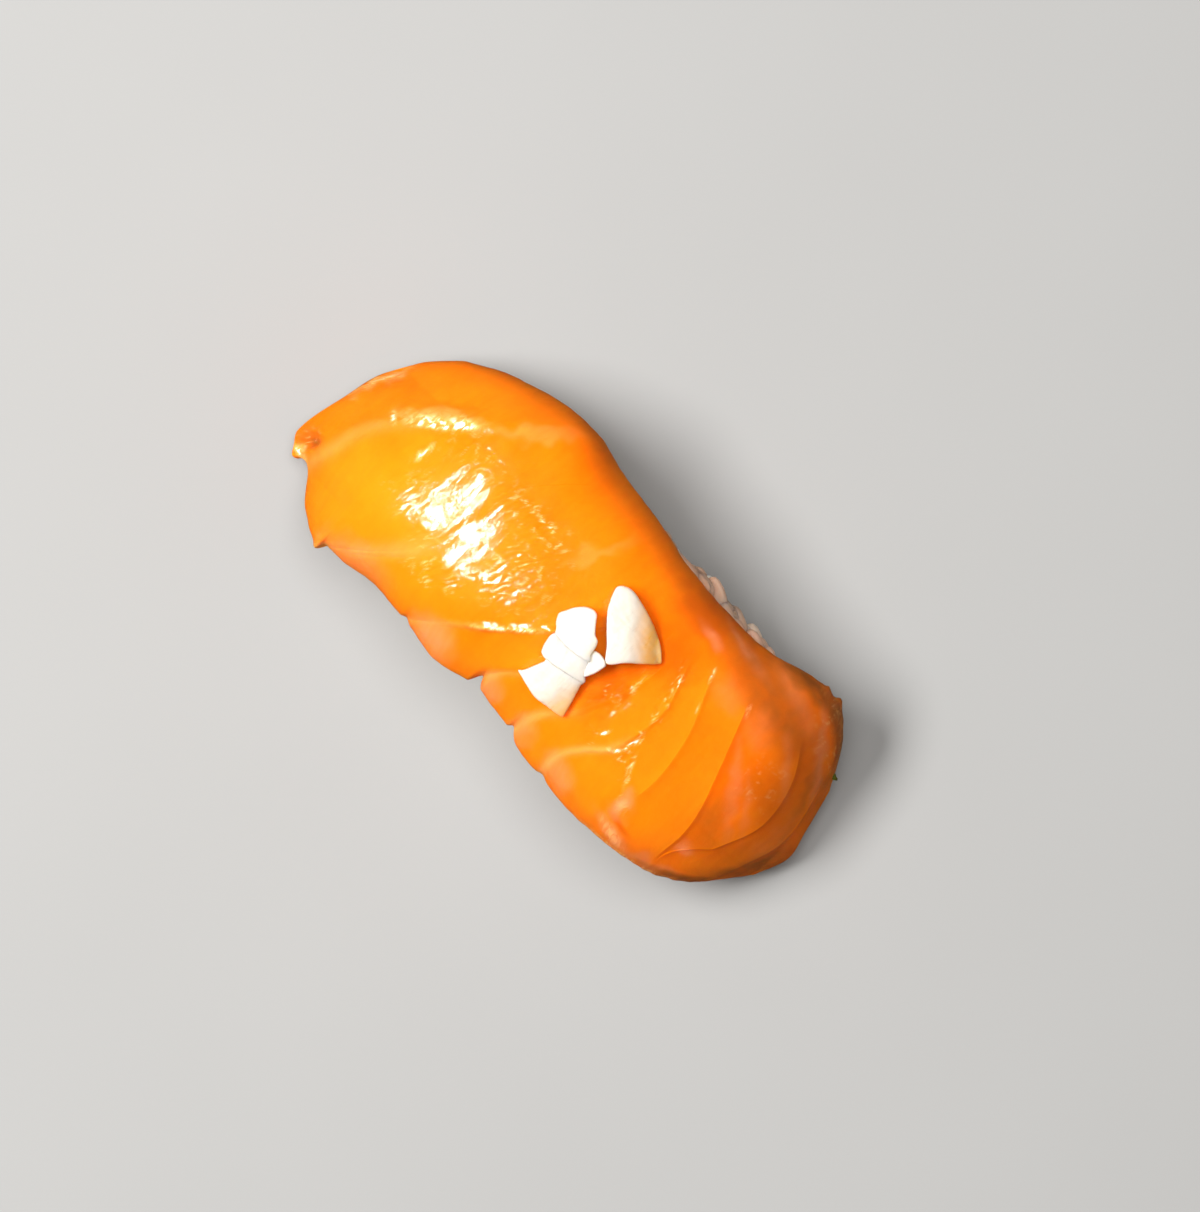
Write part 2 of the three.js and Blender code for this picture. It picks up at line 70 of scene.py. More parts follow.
@dataclass(frozen=True)
class SmoothLine:
    """Smooth line through a few stops, level beyond both ends.

    Attributes:
        stops: Places and values, in rising order of place.
    """

    stops: Rows

    def __call__(self, place: Array) -> Array:
        """Read the line at many places.

        Args:
            place: Places along the line.

        Returns:
            The value at each place.
        """
        places, values = np.array(self.stops, float).T
        last = len(places) - 1
        here = np.arange(last + 1)
        before, after = np.maximum(here - 1, 0), np.minimum(here + 1, last)
        slopes = (values[after] - values[before]) / (places[after] - places[before])
        i = np.clip(np.searchsorted(places, place, side="right") - 1, 0, last - 1)
        span, rise = places[i + 1] - places[i], values[i + 1] - values[i]
        t = np.clip((place - places[i]) / span, 0, 1)
        leave = slopes[i] * span - rise
        arrive = rise - slopes[i + 1] * span
        return values[i] + t * rise + t * (1 - t) * ((1 - t) * leave + t * arrive)


@dataclass(frozen=True)
class Ripple:
    """Smooth random relief over a surface.

    Attributes:
        across: Spacing of the bumps along the first direction.
        along: Spacing of the bumps along the second direction.
        seed: Start of the random draw.
        height: Height of the bumps.
    """

    across: float
    along: float
    seed: int
    height: float = 1

    def __call__(self, u: Array, v: Array) -> Array:
        """Read the relief at many points.

        Args:
            u: Places along the first direction.
            v: Places along the second direction.

        Returns:
            The height at each point, as much below 0 as above it.
        """
        cells, gain = 64, 1.5
        angles = np.random.default_rng(self.seed).random((cells, cells)) * 2 * math.pi
        u, v = u / self.across + cells, v / self.along + cells
        i, j = np.floor(u).astype(int), np.floor(v).astype(int)
        du, dv = u - i, v - j
        ease_u, ease_v = (d**3 * (d * (6 * d - 15) + 10) for d in (du, dv))

        def corner(a: int, b: int) -> Array:
            """Part of the relief that one corner of each cell gives."""
            angle = angles[(i + a) % cells, (j + b) % cells]
            return np.cos(angle) * (du - a) + np.sin(angle) * (dv - b)

        low, high = (corner(0, b) * (1 - ease_u) + corner(1, b) * ease_u for b in (0, 1))
        return self.height * (gain * (low * (1 - ease_v) + high * ease_v))


def smoothstep(low: float, high: float, value: Array) -> Array:
    """Ease values from 0 at low to 1 at high."""
    t = np.clip((value - low) / (high - low), 0, 1)
    return t * t * (3 - 2 * t)


def grid_faces(number: Array) -> Array:
    """Four-sided faces between the numbered corners of a grid."""
    sides = number[:-1, :-1], number[1:, :-1], number[1:, 1:], number[:-1, 1:]
    return np.stack(sides, -1).reshape(-1, 4)


def ring_faces(rings: int, sides: int) -> tuple[Array, Array, Array]:
    """Faces of a closed form of stacked rings, with one more corner below them and then one above.

    Args:
        rings: Number of rings, from the lowest up.
        sides: Corners of each ring, against the clock.

    Returns:
        The faces of the wall, in a row for each ring, and of the low and the high end.
    """
    k = np.arange(sides)
    after = (k + 1) % sides
    row = sides * np.arange(rings - 1)[:, None]
    wall = np.stack([row + k, row + after, row + sides + after, row + sides + k], -1)
    low, last = rings * sides, (rings - 1) * sides
    foot = np.stack([np.full(sides, low), after, k], -1)
    head = np.stack([np.full(sides, low + 1), last + k, last + after], -1)
    return wall, foot, head


def mesh_object(name: str, points: Array, *faces: Array) -> Piece:
    """Make a smooth mesh object and link it to the scene.

    Args:
        name: Name of the piece.
        points: Corners in millimetres, one row each.
        *faces: Corner numbers, one row for each face.

    Returns:
        The piece.
    """
    mesh = bpy.data.meshes.new(name)
    rows = [face for part in faces for face in part.reshape(-1, part.shape[-1]).tolist()]
    mesh.from_pydata((points * MM).tolist(), [], rows)
    mesh.polygons.foreach_set("use_smooth", np.ones(len(rows), bool))
    mesh.update()
    piece = bpy.data.objects.new(name, mesh)
    bpy.context.scene.collection.objects.link(piece)
    return piece


# ---- Finishes ----

USUAL_NOISE: Pair = (0.3, 0.7)


class Layer(Enum):
    """Names of what a mesh carries for its material."""

    # pale fat between the flakes, and painted sheen on the ridge of the first seam, the left rim and the tip
    FAT = "fat"
    # painted glints and highlights of the wet skin
    PALE = "pale"
    PINK = "pink"
    # brown translucent skin at the rims, and painted shade where the flesh turns from the light; on the rice,
    # painted shade and juice
    FILM = "film"
    # painted shade: darker flesh beside the seams, by the garlic and where the flesh turns from the light
    GROOVE = "groove"
    # brightness of each rice grain; on the garlic, how orange its thin parts get, partly painted bounce light
    TONE = "tone"
    # painted light: lighter flesh where the flesh faces the light
    GLOW = "glow"
    SWELL = "swell"
    WET = "wet"
    DRY = "dry"
    CRINKLE = "crinkle"
    LIE = "lie"


def paint(piece: Piece, layer: Layer, values: Array) -> None:
    """Write a number or a vector for each corner of a mesh, for its material to read.

    Args:
        piece: Mesh object.
        layer: What is written.
        values: One number or one row of three for each corner.
    """
    kind, name = ("FLOAT_VECTOR", "vector") if values.ndim > 1 else ("FLOAT", "value")
    written = piece.data.attributes.new(layer.value, kind, "POINT")
    written.data.foreach_set(name, np.asarray(values, np.float32).ravel())


def dress(piece: Piece, material: Material, node: str = "") -> Piece:
    """Give a piece its material and its place in the part.

    Args:
        piece: The piece.
        material: Its material.
        node: Solid of the part that it stands for, if any.

    Returns:
        The same piece.
    """
    piece.data.materials.append(material)
    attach(piece, BODY)
    if node:
        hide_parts(node)
    return piece


@dataclass(frozen=True)
class Cloud:
    """Cloudy pattern of a finish.

    Attributes:
        size: Size of its clouds, in metres.
        detail: How many finer patterns lie over it.
        pull: How far it is pulled about.
        stretch: How closely it is packed along each axis.
    """

    size: float
    detail: float = 3
    pull: float = 0
    stretch: Triple = (1, 1, 1)


class Bench:
    """Workbench on which the nodes of one material are put together."""

    def __init__(self, name: str, **constants: object) -> None:
        """Start a material.

        Args:
            name: Name of the material.
            **constants: What is the same all over, by socket, with underscores for spaces.
        """
        self.material = bpy.data.materials.new(name)
        self.material.use_nodes = True
        self.tree = self.material.node_tree
        self.tree.nodes.clear()
        self.shader = self.node("BsdfPrincipled", {})
        self.node("OutputMaterial", {"Surface": self.shader.outputs["BSDF"]})
        self.fill(self.shader, constants)

    def fill(self, node: bpy.types.Node, inputs: Inputs) -> None:
        """Link or set inputs of a node.

        Args:
            node: The node.
            inputs: Sockets or plain values, by number or name, with underscores for spaces if need be.
        """
        for name, value in inputs.items():
            entry = node.inputs[name.replace("_", " ") if isinstance(name, str) else name]
            if isinstance(value, Socket):
                self.tree.links.new(value, entry)
            else:
                entry.default_value = value

    def node(self, kind: str, inputs: Inputs, **settings: str) -> bpy.types.Node:
        """Put one node on the bench.

        Args:
            kind: Its kind, without the word that all kinds start with.
            inputs: Sockets or plain values, by name or number.
            **settings: Its other settings.

        Returns:
            The node.
        """
        node = self.tree.nodes.new("ShaderNode" + kind)
        for name, value in settings.items():
            setattr(node, name, value)
        self.fill(node, inputs)
        return node

    def finished(self, **sockets: Socket) -> Material:
        """Link what varies over the surface to the shader, and hand over the material."""
        self.fill(self.shader, sockets)
        return self.material

    def attribute(self, layer: Layer, output: str = "Fac") -> Socket:
        """What the mesh carries."""
        return self.node("Attribute", {}, attribute_name=layer.value).outputs[output]

    def place(self) -> Socket:
        """Place on the object, in metres."""
        return self.node("TexCoord", {}).outputs["Object"]

    def noise(self, vector: Socket, cloud: Cloud) -> Socket:
        """Cloudy pattern around 0.5.

        Args:
            vector: Place that it is laid over.
            cloud: What it is like.

        Returns:
            The pattern.
        """
        if cloud.stretch != (1, 1, 1):
            vector = self.node("Mapping", {"Vector": vector, "Scale": cloud.stretch}).outputs["Vector"]
        inputs = {"Vector": vector, "Scale": 1 / cloud.size, "Detail": cloud.detail, "Distortion": cloud.pull}
        return self.node("TexNoise", inputs).outputs["Fac"]

    def span(self, value: Socket, low: float, high: float, to_low: float = 0, to_high: float = 1) -> Socket:
        """Value stretched from one range to another, held at both ends."""
        inputs = {"Value": value, "From Min": low, "From Max": high, "To Min": to_low, "To Max": to_high}
        return self.node("MapRange", inputs).outputs["Result"]

    def spread(self, noise: Socket, low: float, high: float) -> Socket:
        """Noise stretched from its usual range to another."""
        return self.span(noise, *USUAL_NOISE, low, high)

    def added(self, first: Socket, second: Socket) -> Socket:
        """Sum of two values."""
        return self.node("Math", {0: first, 1: second}, operation="ADD").outputs["Value"]

    def times(self, first: Socket, second: Socket) -> Socket:
        """Product of two values."""
        return self.node("Math", {0: first, 1: second}, operation="MULTIPLY").outputs["Value"]

    def blend(self, share: Socket, first: object, second: object) -> Socket:
        """Blend of two colours, each a socket or plain, with a share of the second."""
        # Its inputs go by number, because their names are the same for every kind of value.
        return self.node("Mix", {0: share, 6: first, 7: second}, data_type="RGBA").outputs[2]

    def bump(self, height: Socket, depth: float) -> Socket:
        """Normal bent by fine relief, from its height and its depth in metres."""
        return self.node("Bump", {"Distance": depth, "Height": height}).outputs["Normal"]


@dataclass(frozen=True)
class SalmonFinish:
    """Raw salmon: translucent orange flesh with pale seams under a wet skin, with painted light, painted
    shade and painted glints.
    """

    flesh: Colour = (0.93, 0.155, 0.001, 1)
    flesh_light: Colour = (0.95, 0.195, 0.003, 1)
    # painted light
    glow: Colour = (0.97, 0.27, 0.006, 1)
    # painted shade
    groove: Colour = (0.68, 0.105, 0.001, 1)
    fat: Colour = (0.98, 0.42, 0.11, 1)
    # painted glints: first yellowish, then nearly white
    straw: Colour = (0.98, 0.5, 0.17, 1)
    pale: Colour = (0.99, 0.93, 0.82, 1)
    pink: Colour = (0.86, 0.24, 0.085, 1)
    # brown translucent skin, and painted shade
    film: Colour = (0.32, 0.082, 0.01, 1)
    clouds: Cloud = Cloud(0.006, 3, 0.4)
    fibres: Cloud = Cloud(0.0009, 4, 0.3, (1, 0.16, 1))
    mottles: Cloud = Cloud(0.0022, 4, 0.3)
    specks: Cloud = Cloud(0.0005, 3, 0.6, (1, 0.4, 1))
    ruffles: Cloud = Cloud(0.0013, 4, 0.8, (1, 0.55, 1))
    clouds_share: float = 0.65
    fibres_share: float = 0.35
    ragged: Pair = (0.75, 1.1)  # share left by the fibres
    mottled: Row = (0.35, 0.65, 0.72, 1.08)  # part of the pattern, and the shares it leaves
    speckled: Row = (0.4, 0.56, 0.1, 1)  # part of the pattern, and the shares it leaves
    ruffled: Row = (0.38, 0.54, 0.26, 1)  # part of the pattern, and the shares it leaves
    glint_straw_shows: Pair = (0, 0.6)
    glint_white_shows: Pair = (0.35, 0.85)
    roughness: Pair = (0.33, 0.45)
    relief: float = 0.00003
    wet_relief: float = 0.00004

    def material(self) -> Material:
        """Build the material.

        Returns:
            The finished material.
        """
        bench = Bench(
            "salmon_flesh",
            IOR=1.4,
            Specular_IOR_Level=0.06,
            Subsurface_Weight=0.55,
            Subsurface_Radius=(1.0, 0.3, 0.06),
            Subsurface_Scale=0.0036,
            Coat_Roughness=0.06,
            Coat_IOR=1.5,
        )
        lie, place = bench.attribute(Layer.LIE, "Vector"), bench.place()
        fibres, clouds = bench.noise(lie, self.fibres), bench.noise(place, self.clouds)
        cloudy = bench.spread(clouds, 0, self.clouds_share)
        tone = bench.added(cloudy, bench.spread(fibres, 0, self.fibres_share))
        colour = bench.blend(tone, self.flesh, self.flesh_light)
        # painted light, then painted shade
        colour = bench.blend(bench.attribute(Layer.GLOW), colour, self.glow)
        colour = bench.blend(bench.attribute(Layer.GROOVE), colour, self.groove)
        ragged = bench.spread(fibres, *self.ragged)
        mottled = bench.span(bench.noise(place, self.mottles), *self.mottled)
        washes = (
            (Layer.PINK, ragged, self.pink),
            (Layer.FAT, ragged, self.fat),
            (Layer.FILM, mottled, self.film),
        )
        for layer, broken, shade in washes:
            colour = bench.blend(bench.times(bench.attribute(layer), broken), colour, shade)
        fine = bench.noise(lie, self.specks)
        # painted glints, broken into specks
        speckled = bench.times(bench.attribute(Layer.PALE), bench.span(fine, *self.speckled))
        colour = bench.blend(bench.span(speckled, *self.glint_straw_shows), colour, self.straw)
        colour = bench.blend(bench.span(speckled, *self.glint_white_shows), colour, self.pale)
        ruffled = bench.span(bench.noise(lie, self.ruffles), *self.ruffled)
        return bench.finished(
            Base_Color=colour,
            Roughness=bench.spread(clouds, *self.roughness),
            Coat_Weight=bench.times(bench.attribute(Layer.WET), ruffled),
            Normal=bench.bump(fine, self.relief),
            Coat_Normal=bench.bump(fine, self.wet_relief),
        )


@dataclass(frozen=True)
class RiceFinish:
    """Cooked rice: milky and a little sticky, darker and pinker where the slice lies on it, from juice of the
    fish and from painted shade.
    """

    name: str
    milk: Colour = (0.82, 0.69, 0.56, 1)
    bright: Colour = (0.92, 0.84, 0.72, 1)
    # juice of the fish, and painted shade under the slice
    stain: Colour = (0.6, 0.33, 0.22, 1)
    roughness: Pair = (0.26, 0.44)
    relief: float = 0.00006
    clouds: Cloud = Cloud(0.0022, 3, 0.2)
    specks: Cloud = Cloud(0.0005, 4, 0.2)
    unevenness: float = 0.3

    def material(self) -> Material:
        """Build the material.

        Returns:
            The finished material.
        """
        bench = Bench(
            self.name,
            IOR=1.42,
            Specular_IOR_Level=0.1,
            Subsurface_Weight=0.55,
            Subsurface_Radius=(1.0, 0.8, 0.55),
            Subsurface_Scale=0.0016,
            Coat_Weight=0.12,
            Coat_Roughness=0.16,
        )
        place = bench.place()
        clouds = bench.noise(place, self.clouds)
        uneven = bench.spread(clouds, -self.unevenness, self.unevenness)
        tone = bench.added(bench.attribute(Layer.TONE), uneven)
        colour = bench.blend(tone, self.milk, self.bright)
        return bench.finished(
            Base_Color=bench.blend(bench.attribute(Layer.FILM), colour, self.stain),
            Roughness=bench.spread(clouds, *self.roughness),
            Normal=bench.bump(bench.noise(place, self.specks), self.relief),
        )


@dataclass(frozen=True)
class GarlicFinish:
    """Raw garlic: ivory, smooth and slightly moist, with fine fibres, and orange where it is cut thin, from
    the salmon that shows through and from painted bounce light.
    """

    ivory: Colour = (0.64, 0.57, 0.475, 1)
    white: Colour = (0.7, 0.64, 0.56, 1)
    # orange of thin garlic over the salmon, partly painted bounce light
    amber: Colour = (0.95, 0.44, 0.1, 1)
    roughness: Pair = (0.24, 0.42)
    relief: float = 0.00004
    fibres: Cloud = Cloud(0.0006, 4, 0.2, (1, 0.3, 0.25))
    clouds: Cloud = Cloud(0.0025, 2)
    amber_bounce_shows: Pair = (1.1, 0.8)

    def material(self) -> Material:
        """Build the material.

        Returns:
            The finished material.
        """
        bench = Bench(
            "garlic_flesh",
            IOR=1.45,
            Subsurface_Weight=0.6,
            Subsurface_Radius=(1.0, 0.8, 0.5),
            Subsurface_Scale=0.0036,
            Coat_Weight=0.25,
            Coat_Roughness=0.12,
        )
        place = bench.place()
        fibres, clouds = bench.noise(place, self.fibres), bench.noise(place, self.clouds)
        tone = bench.added(bench.spread(fibres, 0, 0.5), bench.spread(clouds, 0, 0.5))
        thin = bench.times(bench.attribute(Layer.TONE), bench.spread(fibres, *self.amber_bounce_shows))
        return bench.finished(
            Base_Color=bench.blend(thin, bench.blend(tone, self.ivory, self.white), self.amber),
            Roughness=bench.spread(fibres, *self.roughness),
            Normal=bench.bump(fibres, self.relief),
        )


@dataclass(frozen=True)
class HerbFinish:
    """A crumb of green herb."""

    dark: Colour = (0.04, 0.045, 0.004, 1)
    light: Colour = (0.13, 0.14, 0.015, 1)
    clouds: Cloud = Cloud(0.0003, 2)
    relief: float = 0.00004

    def material(self) -> Material:
        """Build the material.

        Returns:
            The finished material.
        """
        bench = Bench("herb", Roughness=0.45, Subsurface_Weight=0.2, Subsurface_Scale=0.0005)
        clouds = bench.noise(bench.place(), self.clouds)
        colour = bench.blend(clouds, self.dark, self.light)
        return bench.finished(Base_Color=colour, Normal=bench.bump(clouds, self.relief))


@dataclass(frozen=True)
class FloorFinish:
    """Plain pale floor."""

    pale: Colour = (0.30, 0.296, 0.288, 1)
    paler: Colour = (0.32, 0.316, 0.308, 1)
    clouds: Cloud = Cloud(0.05, 2)

    def material(self) -> Material:
        """Build the material.

        Returns:
            The finished material.
        """
        bench = Bench("floor", Roughness=0.8, Specular_IOR_Level=0.2)
        clouds = bench.noise(bench.place(), self.clouds)
        return bench.finished(Base_Color=bench.blend(clouds, self.pale, self.paler))


# ---- Slice of salmon ----


@dataclass(frozen=True)
class Drape:
    """Smooth form of the slice over the rice, without its flakes."""

    crest_height: float = 24
    crest_fall: float = 1.5
    crest_lean: float = 0.2
    end_squareness: float = 2.6
    side_squareness: float = 3
    end_shoulder: float = 0.7
    side_shoulder: float = 0.5
    shoulder_ease: float = 0.03
    normal_reach: float = 1
    mid_thickness: float = 4.4
    edge_thickness: float = 1.7
    thinning: float = 0.6
    half_length: float = 35
    near_side: SmoothLine = SmoothLine((
        (-33.3, -9.5), (-31.3, -9.2), (-28.2, -12.4), (-24.5, -14.2), (-21.5, -13.7), (-16.5, -12.8),
        (-12, -12.9), (-7.3, -13.8), (-1.9, -12.9), (3, -13.3), (7, -14.4), (14, -15.2), (20, -14.9),
        (25, -14), (29, -11.8), (33.6, -6.5),
    ))
    far_side: SmoothLine = SmoothLine((
        (-31.4, 5.4), (-29.8, 7.8), (-26.5, 10.8), (-20, 13.6), (-12, 15.2), (-7, 13.9), (0, 12.8),
        (6, 11.6), (14, 11.2), (18, 11.5), (22, 12.7), (26.5, 12.9), (30, 10.5), (33, 5.7),
    ))
    left_end: SmoothLine = SmoothLine(
        ((-9.5, -33.3), (-7.3, -34.7), (-1, -33.6), (2.6, -32.8), (5.4, -31.4))
    )
    right_end: SmoothLine = SmoothLine(((-6.5, 33.6), (-2.5, 35), (1, 34.2), (5.7, 33)))
    near_hem: SmoothLine = SmoothLine((
        (-33.3, 2.8), (-29, 6), (-22, 11.5), (-12, 14.5), (10, 15), (20, 13.5), (27, 9), (33.6, 3.4),
    ))
    far_hem: SmoothLine = SmoothLine((
        (-31.4, 3.8), (-26, 8), (-18, 12.5), (-8, 14.5), (8, 15.8), (18, 14.5), (26, 9.5), (33, 3.4),
    ))

    def edge(self, x: Array, y: Array) -> Array:
        """Distances of plan points from the outline."""
        along = np.minimum(x - self.left_end(y), self.right_end(y) - x)
        return np.minimum(along, np.minimum(y - self.near_side(x), self.far_side(x) - y))

    def distances(self, x: Array, y: Array) -> tuple[Array, Array, Array]:
        """How far points are from the ends and from the sides.

        Args:
            x: Places along the slice.
            y: Places across the slice.

        Returns:
            Distances from the ends and from the sides, each 0 on them and 1 on the crest, and the
            crosswise place from -1 to 1.
        """
        left, right = self.left_end(y), self.right_end(y)
        near, far = self.near_side(x), self.far_side(x)
        lengthwise = np.clip(2 * (x - left) / (right - left) - 1, -1, 1)
        crosswise = np.clip(2 * (y - near) / (far - near) - 1, -1, 1)
        leaning = crosswise - self.crest_lean * (1 - crosswise**2)
        from_ends = 1 - np.abs(lengthwise) ** self.end_squareness
        return from_ends, 1 - np.abs(leaning) ** self.side_squareness, crosswise

    def fullness(self, x: Array, y: Array) -> Array:
        """How far points are from the outline: 0 on it and 1 on the crest."""
        from_ends, from_sides, _ = self.distances(x, y)
        return np.maximum(from_ends * from_sides, 0)

    def rounded(self, share: Array, power: float) -> Array:
        """Share of its height that a rounded shoulder has, from its foot at 0 to its crest at 1."""
        low, high = self.shoulder_ease**power, (1 + self.shoulder_ease) ** power
        return ((np.maximum(share, 0) + self.shoulder_ease) ** power - low) / (high - low)

    def height(self, x: Array, y: Array) -> Array:
        """Height of the smooth top.

        Args:
            x: Places along the slice.
            y: Places across the slice.

        Returns:
            Heights above the surface.
        """
        from_ends, from_sides, crosswise = self.distances(x, y)
        near, far = self.near_hem(x), self.far_hem(x)
        hem = near + (far - near) * (crosswise + 1) / 2
        crest = self.crest_height - self.crest_fall * (x / self.half_length) ** 2
        share = self.rounded(from_ends, self.end_shoulder) * self.rounded(from_sides, self.side_shoulder)
        return hem + (crest - hem) * share

    def height_at(self, x: float, y: float) -> float:
        """Height of the smooth top at one place."""
        return float(self.height(np.array(x), np.array(y)))

    def normal(self, x: Array, y: Array) -> Array:
        """Outward direction of the smooth top.

        Args:
            x: Places along the slice.
            y: Places across the slice.

        Returns:
            Unit vectors.
        """
        reach = self.normal_reach
        slope_x = (self.height(x + reach, y) - self.height(x - reach, y)) / (2 * reach)
        slope_y = (self.height(x, y + reach) - self.height(x, y - reach)) / (2 * reach)
        outward = np.stack([-slope_x, -slope_y, np.ones_like(slope_x)], -1)
        return outward / np.linalg.norm(outward, axis=-1, keepdims=True)

    def thickness(self, x: Array, y: Array) -> Array:
        """Thickness of the slice at plan points."""
        full = self.fullness(x, y) ** self.thinning
        return self.edge_thickness + (self.mid_thickness - self.edge_thickness) * full


@dataclass(frozen=True)
class Seams:
    """Lines between the flakes of the fish. Each size is a row of numbers, one for each seam from the left.

    Attributes:
        lines: Places across the slice of three lines that run along it.
        crossings: Places along the slice where each seam crosses the near side, the three lines and the
            far side.
        bow: How far it bows out to the left between the near side and the first line.
        step: How far the flake on its right starts below the one on its left.
        drop: Distance over which it goes down.
        shows_from: Place across the slice from which the step and the shades show.
        shows_to: Place where they end.
        notch: Depth of the notch where it meets the near side.
        groove: Strength of the painted shade on its right, from 0 to 1.
        glow: Strength of the painted light on its left, from 0 to 1.
        lip: Height of the wet lip along it.
        lip_from: Place from which the lip stands up.
        lip_to: Place where it ends.
        fat: Strength of the pale band along it, from 0 to 1.
        fat_width: Half of the width of the band.
        fat_end: Place where the band fades out.
        crest: Strength of the painted glint on its left, in pale specks, from 0 to 1.
        crest_width: Width of the painted glint.
        crest_from: Place from which the glint shows.
        crest_to: Place where it ends.
    """

    lines: Row = (-7.5, -1, 5)
    crossings: Rows = (
        (-31.2, -23.4, -11.8, -1.9, 4.3, 9.5, 16.6, 24.3, 24.8, 30.3),
        (-30.6, -16.4, -5, 2.2, 7.4, 12.8, 18.4, 24.4, 28, 31.4),
        (-28.2, -14.8, 1.8, 8, 10, 13.9, 17.5, 22.3, 30, 33.2),
        (-21.5, -12.8, 5.4, 8.9, 10.6, 12.2, 15, 19.9, 28, 31.8),
        (-11.5, -5, 4.2, 8.6, 10.4, 11.9, 13.4, 17.3, 21, 29.5),
    )
    bow: Row = (0, 0, 0, 1, 1, 1.5, 0, 0, 1.4, 0)
    step: Row = (0.25, 0.22, 0.1, 0.08, 0.08, 0.1, 0.08, 0.09, 0.11, 0.12)
    drop: Row = (1, 1.2, 0.6, 0.6, 0.6, 0.5, 0.6, 0.5, 0.45, 0.4)
    shows_from: Row = (3, -14, -12, -14, -14, -14, -9, -12, -12, -11)
    shows_to: Row = (10, 2, 5, 2, 3, 5, 5, 6, 7, 5)
    notch: Row = (0, 0.6, 0.6, 1.2, 1, 0.7, 0.1, 0, 0, 0)
    groove: Row = (0, 0.1, 0.3, 0.2, 0.2, 0.3, 0.4, 0.7, 0.9, 0.45)
    glow: Row = (0, 0.3, 0.2, 0.3, 0.3, 0.35, 0.5, 0.5, 0.15, 0.3)
    lip: Row = (0, 0, 0.36, 0.08, 0.08, 0.14, 0.05, 0.04, 0, 0)
    lip_from: Row = (0, 0, -9.5, -7, -6.5, -9, -10, -10, 0, 0)
    lip_to: Row = (0, 0, -2.8, -1.5, 0.8, 3, 6, 6, 0, 0)
    fat: Row = (0.25, 0.35, 0.2, 0.35, 0.4, 0.45, 0, 0, 0, 0)
    fat_width: Row = (0.8, 1.3, 0.5, 0.5, 0.5, 0.5, 0.5, 0.4, 0.4, 0.4)
    fat_end: Row = (1.5, -5.5, -8.5, -8.8, -8.2, -6.4, -9, -9, -9, -9)
    crest: Row = (1, 0, 0.6, 0, 0, 0, 0, 0, 0, 0)
    crest_width: Row = (1.9, 1, 0.38, 1, 1, 1, 1, 1, 1, 1)
    crest_from: Row = (1.9, 0, -8.3, 0, 0, 0, 0, 0, 0, 0)
    crest_to: Row = (6.2, 0, -3.6, 0, 0, 0, 0, 0, 0, 0)

    def sizes(self, name: str, k: Array) -> Array:
        """Sizes of the seams with given numbers, 0 where the number is an end of the slice."""
        return np.array([0, *getattr(self, name), 0], float)[k]


@dataclass(frozen=True)
class Patch:
    """Soft patch of another colour or height on the slice.

    Attributes:
        x: Place along the slice.
        y: Place across the slice.
        half_length: Half of its length.
        half_width: Half of its width.
        turn: Direction of its length, in degrees from the length of the slice.
        strength: From 0 to 1, or its height where it is a swell.
        rim: Width of the rim of the slice that it is held to, or 0 where it isn't.
        fade: Where it starts and ends to fade, for half sizes of 1.
        rim_fade: Where it starts and ends to fade, for a rim of 1.
    """

    x: float
    y: float
    half_length: float
    half_width: float
    turn: float
    strength: float
    rim: float = 0
    fade: Pair = (0.1, 1.4)
    rim_fade: Pair = (0.5, 1.3)

    def cover(self, x: Array, y: Array, edge: Array) -> Array:
        """How strongly the patch covers points.

        Args:
            x: Places along the slice.
            y: Places across the slice.
            edge: Distances from the outline.

        Returns:
            Cover from 0 to the strength of the patch.
        """
        cos, sin = math.cos(math.radians(self.turn)), math.sin(math.radians(self.turn))
        along = ((x - self.x) * cos + (y - self.y) * sin) / self.half_length
        across = ((y - self.y) * cos - (x - self.x) * sin) / self.half_width
        cover = self.strength * (1 - smoothstep(*self.fade, np.hypot(along, across)))
        low, high = self.rim_fade
        return cover * (1 - smoothstep(low * self.rim, high * self.rim, edge)) if self.rim else cover


@dataclass(frozen=True)
class Layout:
    """Where the columns and rows of the slice lie, each an array of columns by rows.

    Attributes:
        x: Places along the slice.
        y: Places across the slice.
        left: Distances from the seam on the left.
        right: Distances from the seam on the right.
        k: Number of the seam on the left, 0 for the end of the slice.
        v: Shares of the way from the near to the far side.
        u: Distances from the left end, measured over the flakes.
        s: Distances from the near side, as if the slice were equally wide all along.
        edge: Distances from the outline.
    """

    x: Array
    y: Array
    left: Array
    right: Array
    k: Array
    v: Array
    u: Array
    s: Array
    edge: Array

    def sides(self) -> tuple[tuple[Array, Array], tuple[Array, Array]]:
        """Distance and number of the seam on the left, and then of the one on the right."""
        return (self.left, self.k), (self.right, self.k + 1)


